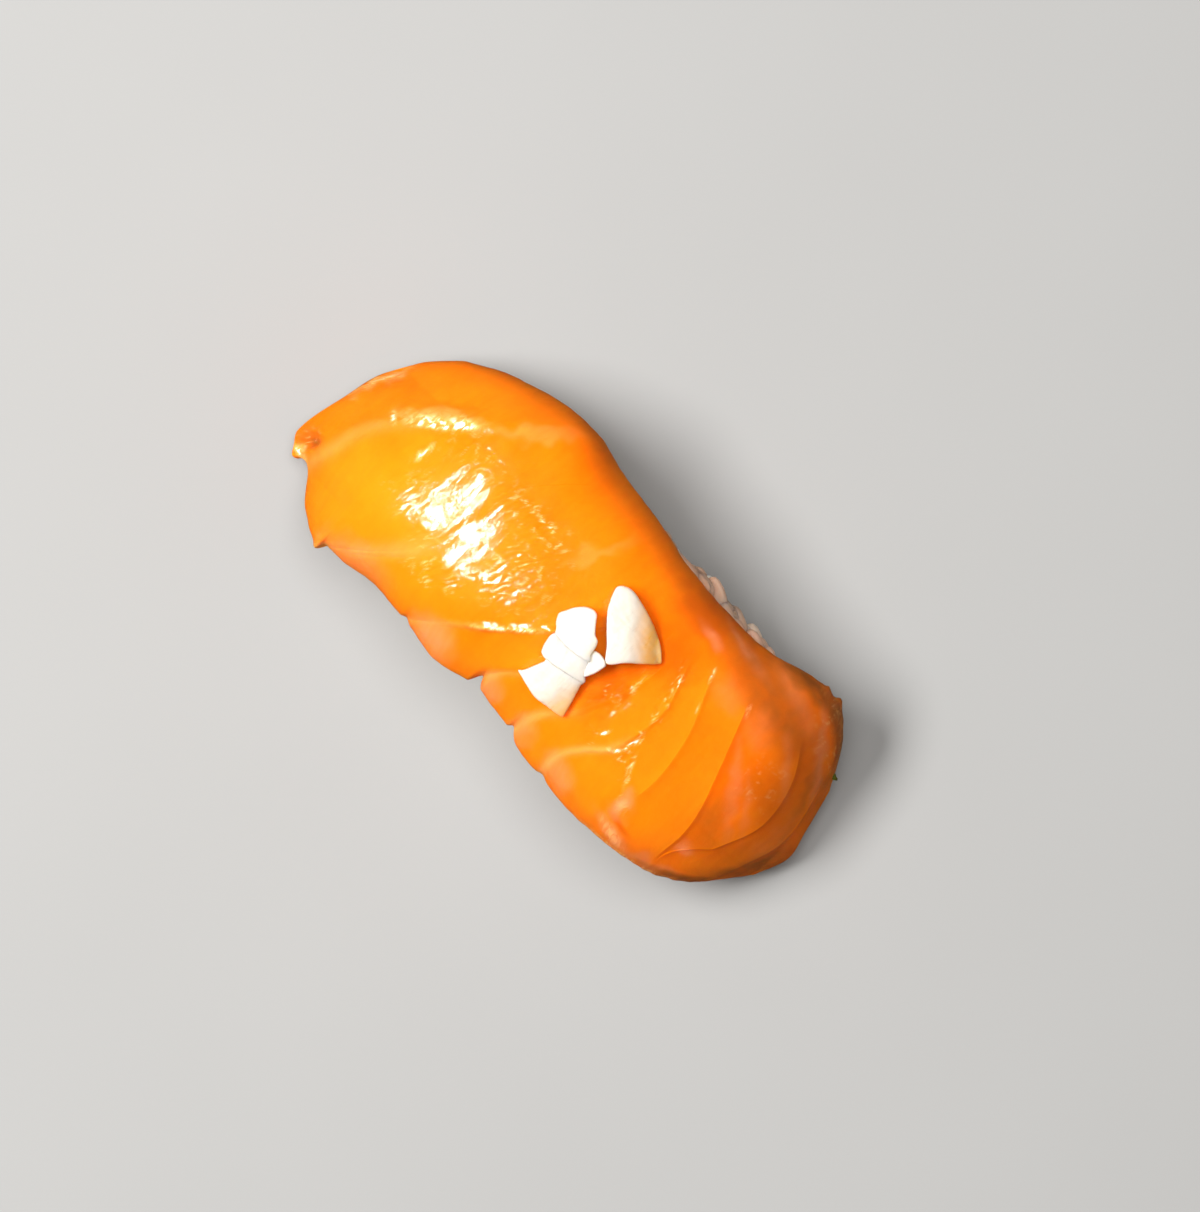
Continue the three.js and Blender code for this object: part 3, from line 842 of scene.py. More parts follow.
@dataclass
class SalmonSlice:
    """The slice: flakes that lie like shingles, seams, wrinkles and a thin edge."""

    drape: Drape = Drape()
    seams: Seams = Seams()
    patches: tuple[tuple[Layer, Rows], ...] = (
        (Layer.SWELL, (
            (-17.5, 6, 5, 4, 90, 0.45), (-12.4, -10.6, 5, 3.7, 90, 0.62), (-24, 4.6, 5, 1.3, 36, 0.3),
            (-33, -7.3, 1.4, 1, 50, -1.1),
        )),
        (Layer.CRINKLE, (
            (-17.5, 4, 5, 1.8, 0, 0.5), (-18, -5, 5, 1.7, -10, 0.7), (-21, -1.5, 3, 1.3, 95, 0.6),
            (-7.2, -1.8, 4.6, 3.6, 30, 1.1), (-9, 3, 5.5, 2.6, 0, 1.2), (-13, -7.4, 4, 1.5, 20, 0.9),
            (-23.6, 4, 5.5, 0.9, 36, 1), (10, -2.8, 3.6, 0.7, 88, 1.4), (8.2, -3.7, 2, 0.4, 85, 1.3),
            (13.2, 0.6, 4.2, 0.5, -72, 1.4), (14, -5.9, 2.2, 0.7, 85, 1.6), (11, -7.3, 1.7, 0.4, 50, 1.4),
            (15.8, -7.8, 2.6, 0.4, -72, 1.2), (27, 0.8, 3.4, 3, 0, 0.4), (28.5, 10, 6, 2, -45, 0.5),
            (-32.2, 2.5, 4, 1, 65, 0.8), (-33, -7.5, 1.6, 1.2, 50, 0.8),
        )),
        (Layer.DRY, (
            (-10, -3.2, 2.6, 1, 80, 1), (-21.5, -5, 1.6, 1, 20, 0.6), (-17.8, 3.4, 0.9, 0.9, 0, 0.3),
        )),
        # painted light over the left half, and by the near edge on the right
        (Layer.GLOW, (
            (-18, -4, 13, 8, 12, 0.62), (14, -9, 6, 5, 0, 0.3),
        )),
        # painted shade: the shadow of the garlic, a crease, and the far side that turns from the light
        (Layer.GROOVE, (
            (10, 4, 4.5, 3.4, -15, 1), (10.5, 9.4, 4.6, 3, -8, 1), (18.8, -12.3, 1.8, 0.45, -12, 1),
            (8.2, -3, 5, 2.2, 85, 1), (21, 7.8, 9, 2.6, -12, 0.8), (27.5, 1, 4, 4, 0, 0.45),
        )),
        (Layer.PINK, (
            (-20, -12.4, 4.4, 1.9, 8, 0.4), (-8.5, -12.3, 2.8, 2, -12, 0.75),
            (-0.6, -12.3, 1.5, 1.8, 0, 0.6), (5, -12.8, 1.6, 1.8, 0, 0.5),
            (10.9, -13.2, 2.4, 1.5, -20, 0.6), (17.7, -10.7, 1.2, 1.7, 10, 1.1),
            (19.4, -13.7, 2.9, 0.8, -14, 0.8), (24, -13.4, 4.5, 0.7, 18, 0.6),
            (25.8, -9.6, 1, 0.9, 45, 0.7), (11.9, 8.3, 2, 0.7, -14, 0.85), (15.2, 9.8, 3.2, 0.45, -16, 0.9),
            (16.5, 9.6, 3.8, 0.7, -12, 0.6), (23, 9.8, 5.2, 1.2, -20, 0.5),
            (17.3, 5.3, 2.4, 1.6, -10, 0.25), (22.3, 5, 2.4, 1.8, -50, 0.3), (25, -1.5, 5.5, 0.8, -52, 0.4),
            (27.2, -1.8, 4, 0.5, -50, 0.3), (29, 7.6, 6.5, 0.7, -50, 0.7), (27, 4.4, 5, 0.6, -46, 0.35),
            (32.8, -3.5, 1.6, 5.0, 5, 0.2),
        )),
        # painted glints and highlights of the wet skin
        (Layer.PALE, (
            (-27.4, 0.9, 0.9, 0.35, -35, 0.8), (-22.5, 0.6, 1.4, 0.35, 82, 0.7),
            (-32.2, 2.6, 3.6, 0.25, 66, 0.5), (-33.1, -8.7, 0.55, 0.45, 20, 1),
            (29.5, 9.6, 6, 5, -42, 0.1, 0.9), (20, 5.4, 0.9, 0.18, -60, 0.5),
            (14.9, 5.3, 0.9, 0.16, -70, 0.6), (16.2, 1.8, 0.7, 0.14, -65, 0.4),
            (14, -5.5, 0.9, 0.26, 85, 1.4), (13.1, -7.2, 0.7, 0.25, 48, 1.2),
            (11.1, -6.7, 0.8, 0.2, 58, 0.9), (15.8, -7.6, 1.7, 0.24, -70, 0.5),
            (17.9, -10.8, 0.8, 1.1, 60, 0.2), (22, -14, 7, 2, 8, 0.3, 0.3),
            (19.2, -13.7, 2.2, 0.6, -14, 0.3),
        )),
        # brown translucent skin at the rims, and painted shade on the far side, the far right and in the
        # hollow of the tip
        (Layer.FILM, (
            (21, 8, 9, 3.4, -12, 0.75), (12.5, 10.6, 6, 1.6, -4, 0.3), (10, 8.4, 4.6, 2.4, -6, 0.22),
            (14, -14.4, 4.5, 1.1, -5, 0.2), (26, -5.5, 4, 1.6, -72, 0.3), (22.5, 12, 5, 1.6, 6, 0.95),
            (25, 9.4, 6, 0.8, -24, 0.35), (30.5, 4.6, 5, 0.5, -62, 0.4), (21, -14.2, 7.5, 2, 8, 0.32),
            (-18.5, -13, 6, 1.3, 4, 0.3), (28.5, 10.8, 9, 6, -42, 1, 1.9), (33, 3, 5, 5, 90, 0.5, 1.3),
            (33, -6, 6, 5, 56, 1, 2.2), (28, -12, 7, 4, 30, 0.9, 1.1), (-10.8, 14.5, 4.5, 1, -6, 0.4),
            (-33.2, -7.2, 2.2, 1.3, 20, 0.85),
        )),
        # pale fat, with painted sheen on the ridge of the first seam, along the left rim and at the tip
        (Layer.FAT, (
            (-32.4, -8.9, 1.6, 0.6, -15, 0.7), (-31.9, 2.6, 3.8, 0.6, 65, 0.35),
            (-24, -14, 0.9, 0.7, 0, 0.6), (-23.6, 4.2, 5.2, 0.9, 36, 0.5), (-15.5, 10, 5, 0.9, 47, 0.25),
            (-2.5, 6, 4, 0.7, 63, 0.2),
        )),
    )
    near_fringe: SmoothLine = SmoothLine((
        (-26, 0), (-24.9, -0.1), (-24.1, -0.5), (-23.7, 0.35), (-22.8, 0.3), (-21, 0), (-12.6, 0),
        (-11.8, 0.25), (-10.8, 0), (-2.8, -0.1), (-2.2, 0.8), (-1.9, 1.2), (-1.5, 0.5), (-1, 0),
        (3.4, -0.1), (4, 0.45), (4.5, 0.1), (5.4, -0.25), (9, 0), (9.9, 0.3), (10.8, 0.1), (12, 0),
    ))
    far_fringe: SmoothLine = SmoothLine((
        (-16, 0), (-13.5, -0.2), (-11.8, -0.35), (-10.2, -0.2), (-7.5, 0), (23.6, 0), (24.3, 0.1),
        (24.7, 0.35), (25.3, 0.1), (26.1, 0.15), (26.6, 0.55), (27.2, 0.3), (28, 0.1), (29, 0),
    ))
    wander: Ripple = Ripple(1.6, 1.6, 31)
    usual_wander: float = 0.9
    other_wander: tuple[tuple[Layer, float], ...] = ((Layer.SWELL, 0), (Layer.PALE, 0.3))
    fine_rags: Ripple = Ripple(1.1, 9, 21)
    coarse_rags: Ripple = Ripple(2.7, 9, 22, 0.08)
    rags: Pair = (0.05, 0.1)  # height all along, and what comes on top at the right
    rags_rise: Pair = (20, 26)  # places along the slice
    rags_reach: Pair = (0.035, 0.03)  # on the near and on the far side
    lip_breaks: Ripple = Ripple(3, 1.3, 11, 0.9)
    lip_share: float = 0.6  # of its height, give or take the breaks
    lip_shares: Pair = (0.1, 1.4)  # least and most
    swells: tuple[Ripple, ...] = (Ripple(8, 10, 3, 0.16), Ripple(3.2, 6, 4, 0.06), Ripple(0.9, 5, 5, 0.02))
    warp: Ripple = Ripple(1.7, 1.7, 6, 0.5)
    warp_along: float = 0.4
    long_wrinkles: Ripple = Ripple(0.6, 1.9, 7)
    fine_wrinkles: Ripple = Ripple(0.42, 0.6, 8)
    wrinkle_depths: Pair = (0.1, 0.04)  # long and fine
    wrinkle_lean: float = 0.2
    lean_ends: Pair = (-6, 6)  # places along the slice
    wrinkles_at_hem: float = 0.2
    wrinkles_rise: float = 6
    nominal_width: float = 34
    # painted glints along the crests of the wrinkles
    stroke_breaks: Ripple = Ripple(1.1, 1.3, 9)
    stroke_gaps: Pair = (-0.1, 0.35)  # of the breaks
    stroke_depths: Pair = (0.03, 0.22)  # of the wrinkles
    stroke_share: float = 0.6
    # painted glints along the seams
    crest_breaks: Ripple = Ripple(3, 1.1, 12)
    crest_gaps: Pair = (-0.5, 0.3)  # of the breaks
    least_crest: float = 0.35
    crest_edge: float = 0.3
    fade_in: Pair = (2.5, 1.2)  # its length, and how far ahead it starts
    fade_out: Pair = (3, 1.5)  # its length, and how far ahead it starts
    fat_fade: float = 2.5
    least_wet: float = 0.25
    wet_rise: Pair = (0.3, 0.75)  # shares of the way from the outline to the crest
    least_width: float = 1e-6  # keeps widths of 0 from dividing
    least_drop: float = 1e-3  # the same for drops
    notch_share: float = 0.5
    notch_reach: float = 0.22
    seam_width: float = 0.9
    step_run: float = 2.6
    # reach of the painted shade beside each seam
    groove_run: float = 2.4
    # reach of the painted light beside each seam
    glow_run: float = 3
    lip_width: float = 0.55
    shoulder_ridge: float = 0.3
    ridge_width: float = 2.2
    relief_at_hem: float = 0.35
    relief_rise: float = 4
    edge_round: float = 0.3
    lowest_point: float = 0.3
    fine_flakes: tuple[int, int] = (1, 6)  # first and last
    fine_spacing: float = 0.18
    plain_spacing: float = 0.34
    rows: int = 168
    crowding: float = 0.5
    coarse: int = 4
    seam_gap: float = 0.05
    rim_steps: Row = (0.12, 0.3, 0.5, 0.7, 0.88)  # shares of the way from the top to the underside
    rim_inset: int = 3  # columns and rows, for the direction of the rim
    rim_roundness: float = 0.7
    finish: SalmonFinish = SalmonFinish()
    grid: Layout = field(init=False)

    def __post_init__(self) -> None:
        """Lay out the columns and rows."""
        self.grid = self.lay_out()

    def seam_plan(self, k: int, v: Array) -> Array:
        """Plan points along one seam, with the ends of the slice as first and last seam.

        Args:
            k: Number of the seam.
            v: Shares of the way from the near to the far side.

        Returns:
            One plan point for each share.
        """
        bow = self.seams.sizes("bow", k)
        if k in (0, len(self.seams.step) + 1):
            line = self.drape.left_end if k == 0 else self.drape.right_end
            near_y, far_y = line.stops[0][0], line.stops[-1][0]
        else:
            places = [row[k - 1] for row in self.seams.crossings]
            near_y = float(self.drape.near_side(np.array(places[0])))
            far_y = float(self.drape.far_side(np.array(places[-1])))
            line = SmoothLine(tuple(zip((near_y, *self.seams.lines, far_y), places)))
        y = near_y + v * (far_y - near_y)
        share = np.clip((y - near_y) / (self.seams.lines[0] - near_y), 0, 1)
        return np.stack([line(y) - bow * np.sin(math.pi * share), y], -1)

    def flake_shares(self, k: int, width: float) -> Array:
        """Shares of one flake where its columns stand.

        Args:
            k: Number of the flake.
            width: Greatest width of the flake.

        Returns:
            Shares from its left to its right seam, as many as the coarser underside can share out.
        """
        first_fine, last_fine = self.fine_flakes
        spacing = self.fine_spacing if first_fine <= k <= last_fine else self.plain_spacing
        count = self.coarse * max(1, round(width / spacing / self.coarse))
        first = 0 if k == 0 else self.seam_gap / width
        last = 1 if k == len(self.seams.step) else 1 - self.seam_gap / width
        return first + (last - first) * np.linspace(0, 1, count + 1 if k == 0 else count)

    def lay_out(self) -> Layout:
        """Spread the columns and rows over the plan of the slice.

        Returns:
            The layout.
        """
        even = np.linspace(0, 1, self.rows + 1)
        v = even + self.crowding * (0.5 - 0.5 * np.cos(math.pi * even) - even)
        flakes = len(self.seams.step) + 1
        lines = [self.seam_plan(k, v) for k in range(flakes + 1)]
        parts = []
        reached = np.zeros_like(v)
        for k in range(flakes):
            width = np.linalg.norm(lines[k + 1] - lines[k], axis=-1)
            f = self.flake_shares(k, float(width.max()))[:, None]
            plan = lines[k] * (1 - f[..., None]) + lines[k + 1] * f[..., None]
            x, y = plan[..., 0], plan[..., 1]
            near_shift = self.drape.near_side(x[:, :1]) - y[:, :1]
            far_shift = self.drape.far_side(x[:, -1:]) - y[:, -1:]
            y = y + (1 - v) * near_shift + v * far_shift
            parts.append(np.broadcast_arrays(x, y, f * width, (1 - f) * width, k, v, reached + f * width))
            reached = reached + width
        x, y, left, right, k, v, u = (np.concatenate(arrays) for arrays in zip(*parts))
        return Layout(x, y, left, right, k, v, u, self.nominal_width * v, self.drape.edge(x, y))

    def reach(self, name: str, k: Array) -> Array:
        """How much of something along a seam shows at each place.

        Args:
            name: Start of the names of the two places between which it shows.
            k: Numbers of the seams.

        Returns:
            Shares from 0 to 1.
        """
        y = self.grid.y
        start, end = self.seams.sizes(name + "_from", k), self.seams.sizes(name + "_to", k)
        (fade_in, before), (fade_out, early) = self.fade_in, self.fade_out
        return smoothstep(0, fade_in, y - start + before) * (1 - smoothstep(0, fade_out, y - end + early))

    def patched(self, layer: Layer) -> Array:
        """Cover of all the patches of one layer, with softly wandering borders.

        Args:
            layer: What they are patches of.

        Returns:
            The sum of the swells, or else the strongest cover at each point.
        """
        x, y = self.grid.x, self.grid.y
        wobble = dict(self.other_wander).get(layer, self.usual_wander) * self.wander(x, y)
        combine = np.add if layer is Layer.SWELL else np.maximum
        found = np.zeros_like(x)
        for row in dict(self.patches)[layer]:
            found = combine(found, Patch(*row).cover(x + wobble, y - 0.5 * wobble, self.grid.edge))
        return found

    def relief(self) -> Array:
        """Height of the flakes, seams and wrinkles over the smooth drape.

        Returns:
            Heights along the outward direction.
        """
        grid, size = self.grid, self.seams.sizes
        k, v = grid.k, grid.v
        full = self.drape.fullness(grid.x, grid.y)
        drop = smoothstep(0, 1, grid.left / (size("drop", k) + self.least_drop))
        shingle = -size("step", k) * np.exp(-grid.left / self.step_run) * drop * self.reach("shows", k)
        broken = np.clip(self.lip_share + self.lip_breaks(grid.u, grid.s), *self.lip_shares)
        lip = np.zeros_like(v)
        for side, number in grid.sides():
            stands = size("lip", number) * self.reach("lip", number)
            lip = lip + stands * broken * np.exp(-((side / self.lip_width) ** 2))
        dents = [size("notch", number) * np.exp(-side / self.seam_width) for side, number in grid.sides()]
        seam = -self.notch_share * np.maximum(*dents) * np.exp(-v / self.notch_reach)
        from_ridge = np.where(k == 0, grid.right, np.where(k == 1, grid.left, np.inf))
        ridge = self.shoulder_ridge * np.exp(-((from_ridge / self.ridge_width) ** 2)) * np.sin(math.pi * v)
        forms = (shingle + seam + ridge) * np.minimum(1, self.relief_rise * full + self.relief_at_hem)
        wrinkled = self.wrinkles() * np.minimum(1, self.wrinkles_rise * full + self.wrinkles_at_hem)
        return forms + lip + self.patched(Layer.SWELL) + wrinkled

    def wrinkles(self) -> Array:
        """Swells, fibres and the net of wrinkles in the wet skin.

        Returns:
            Heights of the relief.
        """
        swell = sum(ripple(self.grid.u, self.grid.s) for ripple in self.swells)
        deep, shallow = self.wrinkle_depths
        net, fine = self.net()
        return swell - (deep * net + shallow * fine) * self.patched(Layer.CRINKLE)

    def net(self) -> tuple[Array, Array]:
        """Depth of the wrinkles, 0 on their crests.

        Returns:
            Depths of the long and of the fine wrinkles, from 0 to 1.
        """
        x, y, s = self.grid.x, self.grid.y, self.grid.s
        warp = self.warp(x, y)
        lean = self.wrinkle_lean * (1 - smoothstep(*self.lean_ends, x)) * (s - self.nominal_width / 2)
        net = np.abs(self.long_wrinkles(self.grid.u + self.warp_along * warp - lean, s))
        return net, np.abs(self.fine_wrinkles(x - warp, y + warp))

    def raggedness(self) -> Array:
        """How far the edges are pulled in or out of their smooth line.

        Returns:
            Shifts across the slice.
        """
        x, v = self.grid.x, self.grid.v
        (everywhere, at_right), (near_reach, far_reach) = self.rags, self.rags_reach
        fine = (everywhere + at_right * smoothstep(*self.rags_rise, x)) * self.fine_rags(x, v)
        rough = fine + self.coarse_rags(x, v)
        near, far = self.near_fringe(x) + rough, self.far_fringe(x) + rough
        return np.exp(-v / near_reach) * near + np.exp((v - 1) / far_reach) * far

    def colours(self) -> dict[Layer, Array]:
        """What the material reads at each point of the top, painted light, painted shade and painted glints
        among it.

        Returns:
            One array for each layer.
        """
        grid, size = self.grid, self.seams.sizes
        painted = (Layer.FAT, Layer.PALE, Layer.PINK, Layer.FILM, Layer.GLOW, Layer.GROOVE)
        layers = {layer: self.patched(layer) for layer in painted}
        for side, number in grid.sides():
            width = size("fat_width", number) + self.least_width
            fade = 1 - smoothstep(-self.fat_fade, self.fat_fade, grid.y - size("fat_end", number))
            band = size("fat", number) * np.exp(-((side / width) ** 2)) * fade
            layers[Layer.FAT] = np.maximum(layers[Layer.FAT], band)
        (left, k), (right, after) = grid.sides()
        # painted shade on the right of each seam
        groove = size("groove", k) * np.exp(-left / self.groove_run) * self.reach("shows", k)
        # painted light on the left of each seam
        glow = size("glow", after) * np.exp(-right / self.glow_run) * self.reach("shows", after)
        layers[Layer.GROOVE] = np.maximum(layers[Layer.GROOVE], groove) * (1 - layers[Layer.FAT])
        layers[Layer.GLOW] = np.maximum(layers[Layer.GLOW], glow)
        full = self.drape.fullness(grid.x, grid.y)
        wet = self.least_wet + (1 - self.least_wet) * smoothstep(*self.wet_rise, full)
        crinkled = np.minimum(1, self.patched(Layer.CRINKLE))
        layers[Layer.WET] = np.maximum(wet, crinkled) * (1 - self.patched(Layer.DRY))
        # painted glints along the crests of the wrinkles
        shown = smoothstep(*self.stroke_gaps, self.stroke_breaks(grid.x, grid.y))
        strokes = (1 - smoothstep(*self.stroke_depths, self.net()[0])) * shown
        strokes = self.stroke_share * crinkled * strokes
        layers[Layer.PALE] = np.maximum(np.maximum(layers[Layer.PALE], self.crests()), strokes)
        layers[Layer.LIE] = np.stack([grid.u, grid.s, np.zeros_like(grid.u)], -1) * MM
        return layers

    def crests(self) -> Array:
        """Cover of the painted glints along the seams, in pale specks and sharp on their right side.

        Returns:
            Shares from 0 to 1.
        """
        unbroken = smoothstep(*self.crest_gaps, self.crest_breaks(self.grid.u, self.grid.s))
        unbroken = self.least_crest + (1 - self.least_crest) * unbroken
        widths = self.crest_edge, self.seams.sizes("crest_width", self.grid.k + 1) + self.least_width
        found = np.zeros_like(unbroken)
        for (side, number), width in zip(self.grid.sides(), widths):
            crest = self.seams.sizes("crest", number) * self.reach("crest", number)
            found = np.maximum(found, crest * np.exp(-((side / width) ** 2)))
        return found * unbroken

    def build(self) -> tuple[Array, list[Array], dict[Layer, Array]]:
        """Work out the top, a rounded rim and a coarser underside.

        Returns:
            Points, faces, and what each point carries.
        """
        grid, drape, step = self.grid, self.drape, self.coarse
        smooth = np.stack([grid.x, grid.y, drape.height(grid.x, grid.y)], -1)
        normal, thickness = drape.normal(grid.x, grid.y), drape.thickness(grid.x, grid.y)
        top = smooth + normal * self.relief()[..., None]
        under = smooth - normal * thickness[..., None]
        for face in (top, under):
            face[..., 1] += self.raggedness()
            face[..., 2] = np.maximum(face[..., 2], self.lowest_point)
        number = np.arange(grid.x.size).reshape(grid.x.shape)
        border = np.concatenate([number[:-1, 0], number[-1, :-1], number[:0:-1, -1], number[0, :0:-1]])
        i, j = np.unravel_index(border, number.shape)
        columns, rows, inset = number.shape[0] - 1, number.shape[1] - 1, self.rim_inset
        outward = top[i, j] - top[np.clip(i, inset, columns - inset), np.clip(j, inset, rows - inset)]
        outward /= np.linalg.norm(outward, axis=-1, keepdims=True)
        bulge = (self.edge_round * thickness[i, j])[:, None] * outward
        rings = [
            top[i, j] + (under[i, j] - top[i, j]) * t + bulge * math.sin(math.pi * t) ** self.rim_roundness
            for t in self.rim_steps
        ]
        at_corner = (i % step == 0) & (j % step == 0)

        def spread(values: Array) -> Array:
            """What the top carries, handed on to the rim and the underside."""
            whole, low = (part.reshape(-1, *values.shape[2:]) for part in (values, values[::step, ::step]))
            return np.concatenate([whole, *[values[i, j]] * len(rings), low, values[i, j][~at_corner]])

        low = under[::step, ::step].reshape(-1, 3)
        points = np.concatenate([top.reshape(-1, 3), *rings, low, under[i, j][~at_corner]])
        carried = {layer: spread(values) for layer, values in self.colours().items()}
        return points, self.faces(number, i, j, at_corner), carried

    def faces(self, number: Array, i: Array, j: Array, at_corner: Array) -> list[Array]:
        """Number the corners of the rim and the underside, and join them all.

        Args:
            number: Numbers of the corners of the top.
            i: Columns of the border.
            j: Rows of the border.
            at_corner: Which points of the border are corners of the underside too.

        Returns:
            Corner numbers of the faces of the top, the rim, the underside, and the border between them.
        """
        step, count, rings = self.coarse, len(i), len(self.rim_steps)
        low = number[::step, ::step]
        low = number.size + rings * count + np.arange(low.size).reshape(low.shape)
        edge = np.empty(count, int)
        edge[at_corner] = low[i[at_corner] // step, j[at_corner] // step]
        edge[~at_corner] = low[-1, -1] + 1 + np.arange((~at_corner).sum())
        ring = number.size + np.arange(rings * count).reshape(rings, count)
        loops = np.array([number[i, j], *ring, edge])
        after = np.roll(loops, -1, 1)
        rim = np.stack([loops[:-1], loops[1:], after[1:], after[:-1]], -1)
        n, m = np.arange(0, count, step)[:, None], np.arange(1, step)
        fans = np.stack(np.broadcast_arrays(edge[n + m], edge[(n + m + 1) % count], edge[n]), -1)
        return [grid_faces(number), rim, grid_faces(low)[:, [0, 3, 2, 1]], fans]

    def make(self) -> Piece:
        """Build, dress and place the slice.

        Returns:
            The piece.
        """
        points, faces, carried = self.build()
        piece = mesh_object("salmon", points, *faces)
        for layer, values in carried.items():
            paint(piece, layer, values)
        return dress(piece, self.finish.material(), "salmon_slice")


# ---- Finger of rice ----


@dataclass(frozen=True)
class Grain:
    """One cooked grain: plump, slightly flat and slightly bent."""

    length: float = 6.1
    width: float = 2.8
    thickness: float = 2.5
    rings: int = 8
    sides: int = 10
    plumpness: float = 2.3
    bend: float = 0.5
    first_ring: float = 0.8
    ring_slack: float = 0.6

    def points(self, size: float, bend: float) -> Array:
        """Points of a grain that lies along X.

        Args:
            size: Size relative to a full grain.
            bend: Sideways bend, from -1 to 1.

        Returns:
            Points, ring after ring, and the two tips.
        """
        turn = math.pi * (np.arange(self.rings) + self.first_ring) / (self.rings + self.ring_slack)
        place = -np.cos(turn)
        girth = (1 - np.abs(place) ** self.plumpness) ** (1 / self.plumpness) / 2
        angle = 2 * math.pi * np.arange(self.sides) / self.sides
        y = girth[:, None] * self.width * np.cos(angle) + bend * self.bend * (1 - place[:, None] ** 2)
        z = girth[:, None] * self.thickness * np.sin(angle)
        x = np.broadcast_to(place[:, None] * self.length / 2, y.shape)
        tips = [[-self.length / 2, 0, 0], [self.length / 2, 0, 0]]
        return size * np.concatenate([np.stack([x, y, z], -1).reshape(-1, 3), tips])

    def faces(self) -> Array:
        """Triangles of a grain."""
        wall, foot, head = ring_faces(self.rings, self.sides)
        return np.concatenate([foot, head, wall[..., [[0, 1, 2], [0, 2, 3]]].swapaxes(1, 2).reshape(-1, 3)])


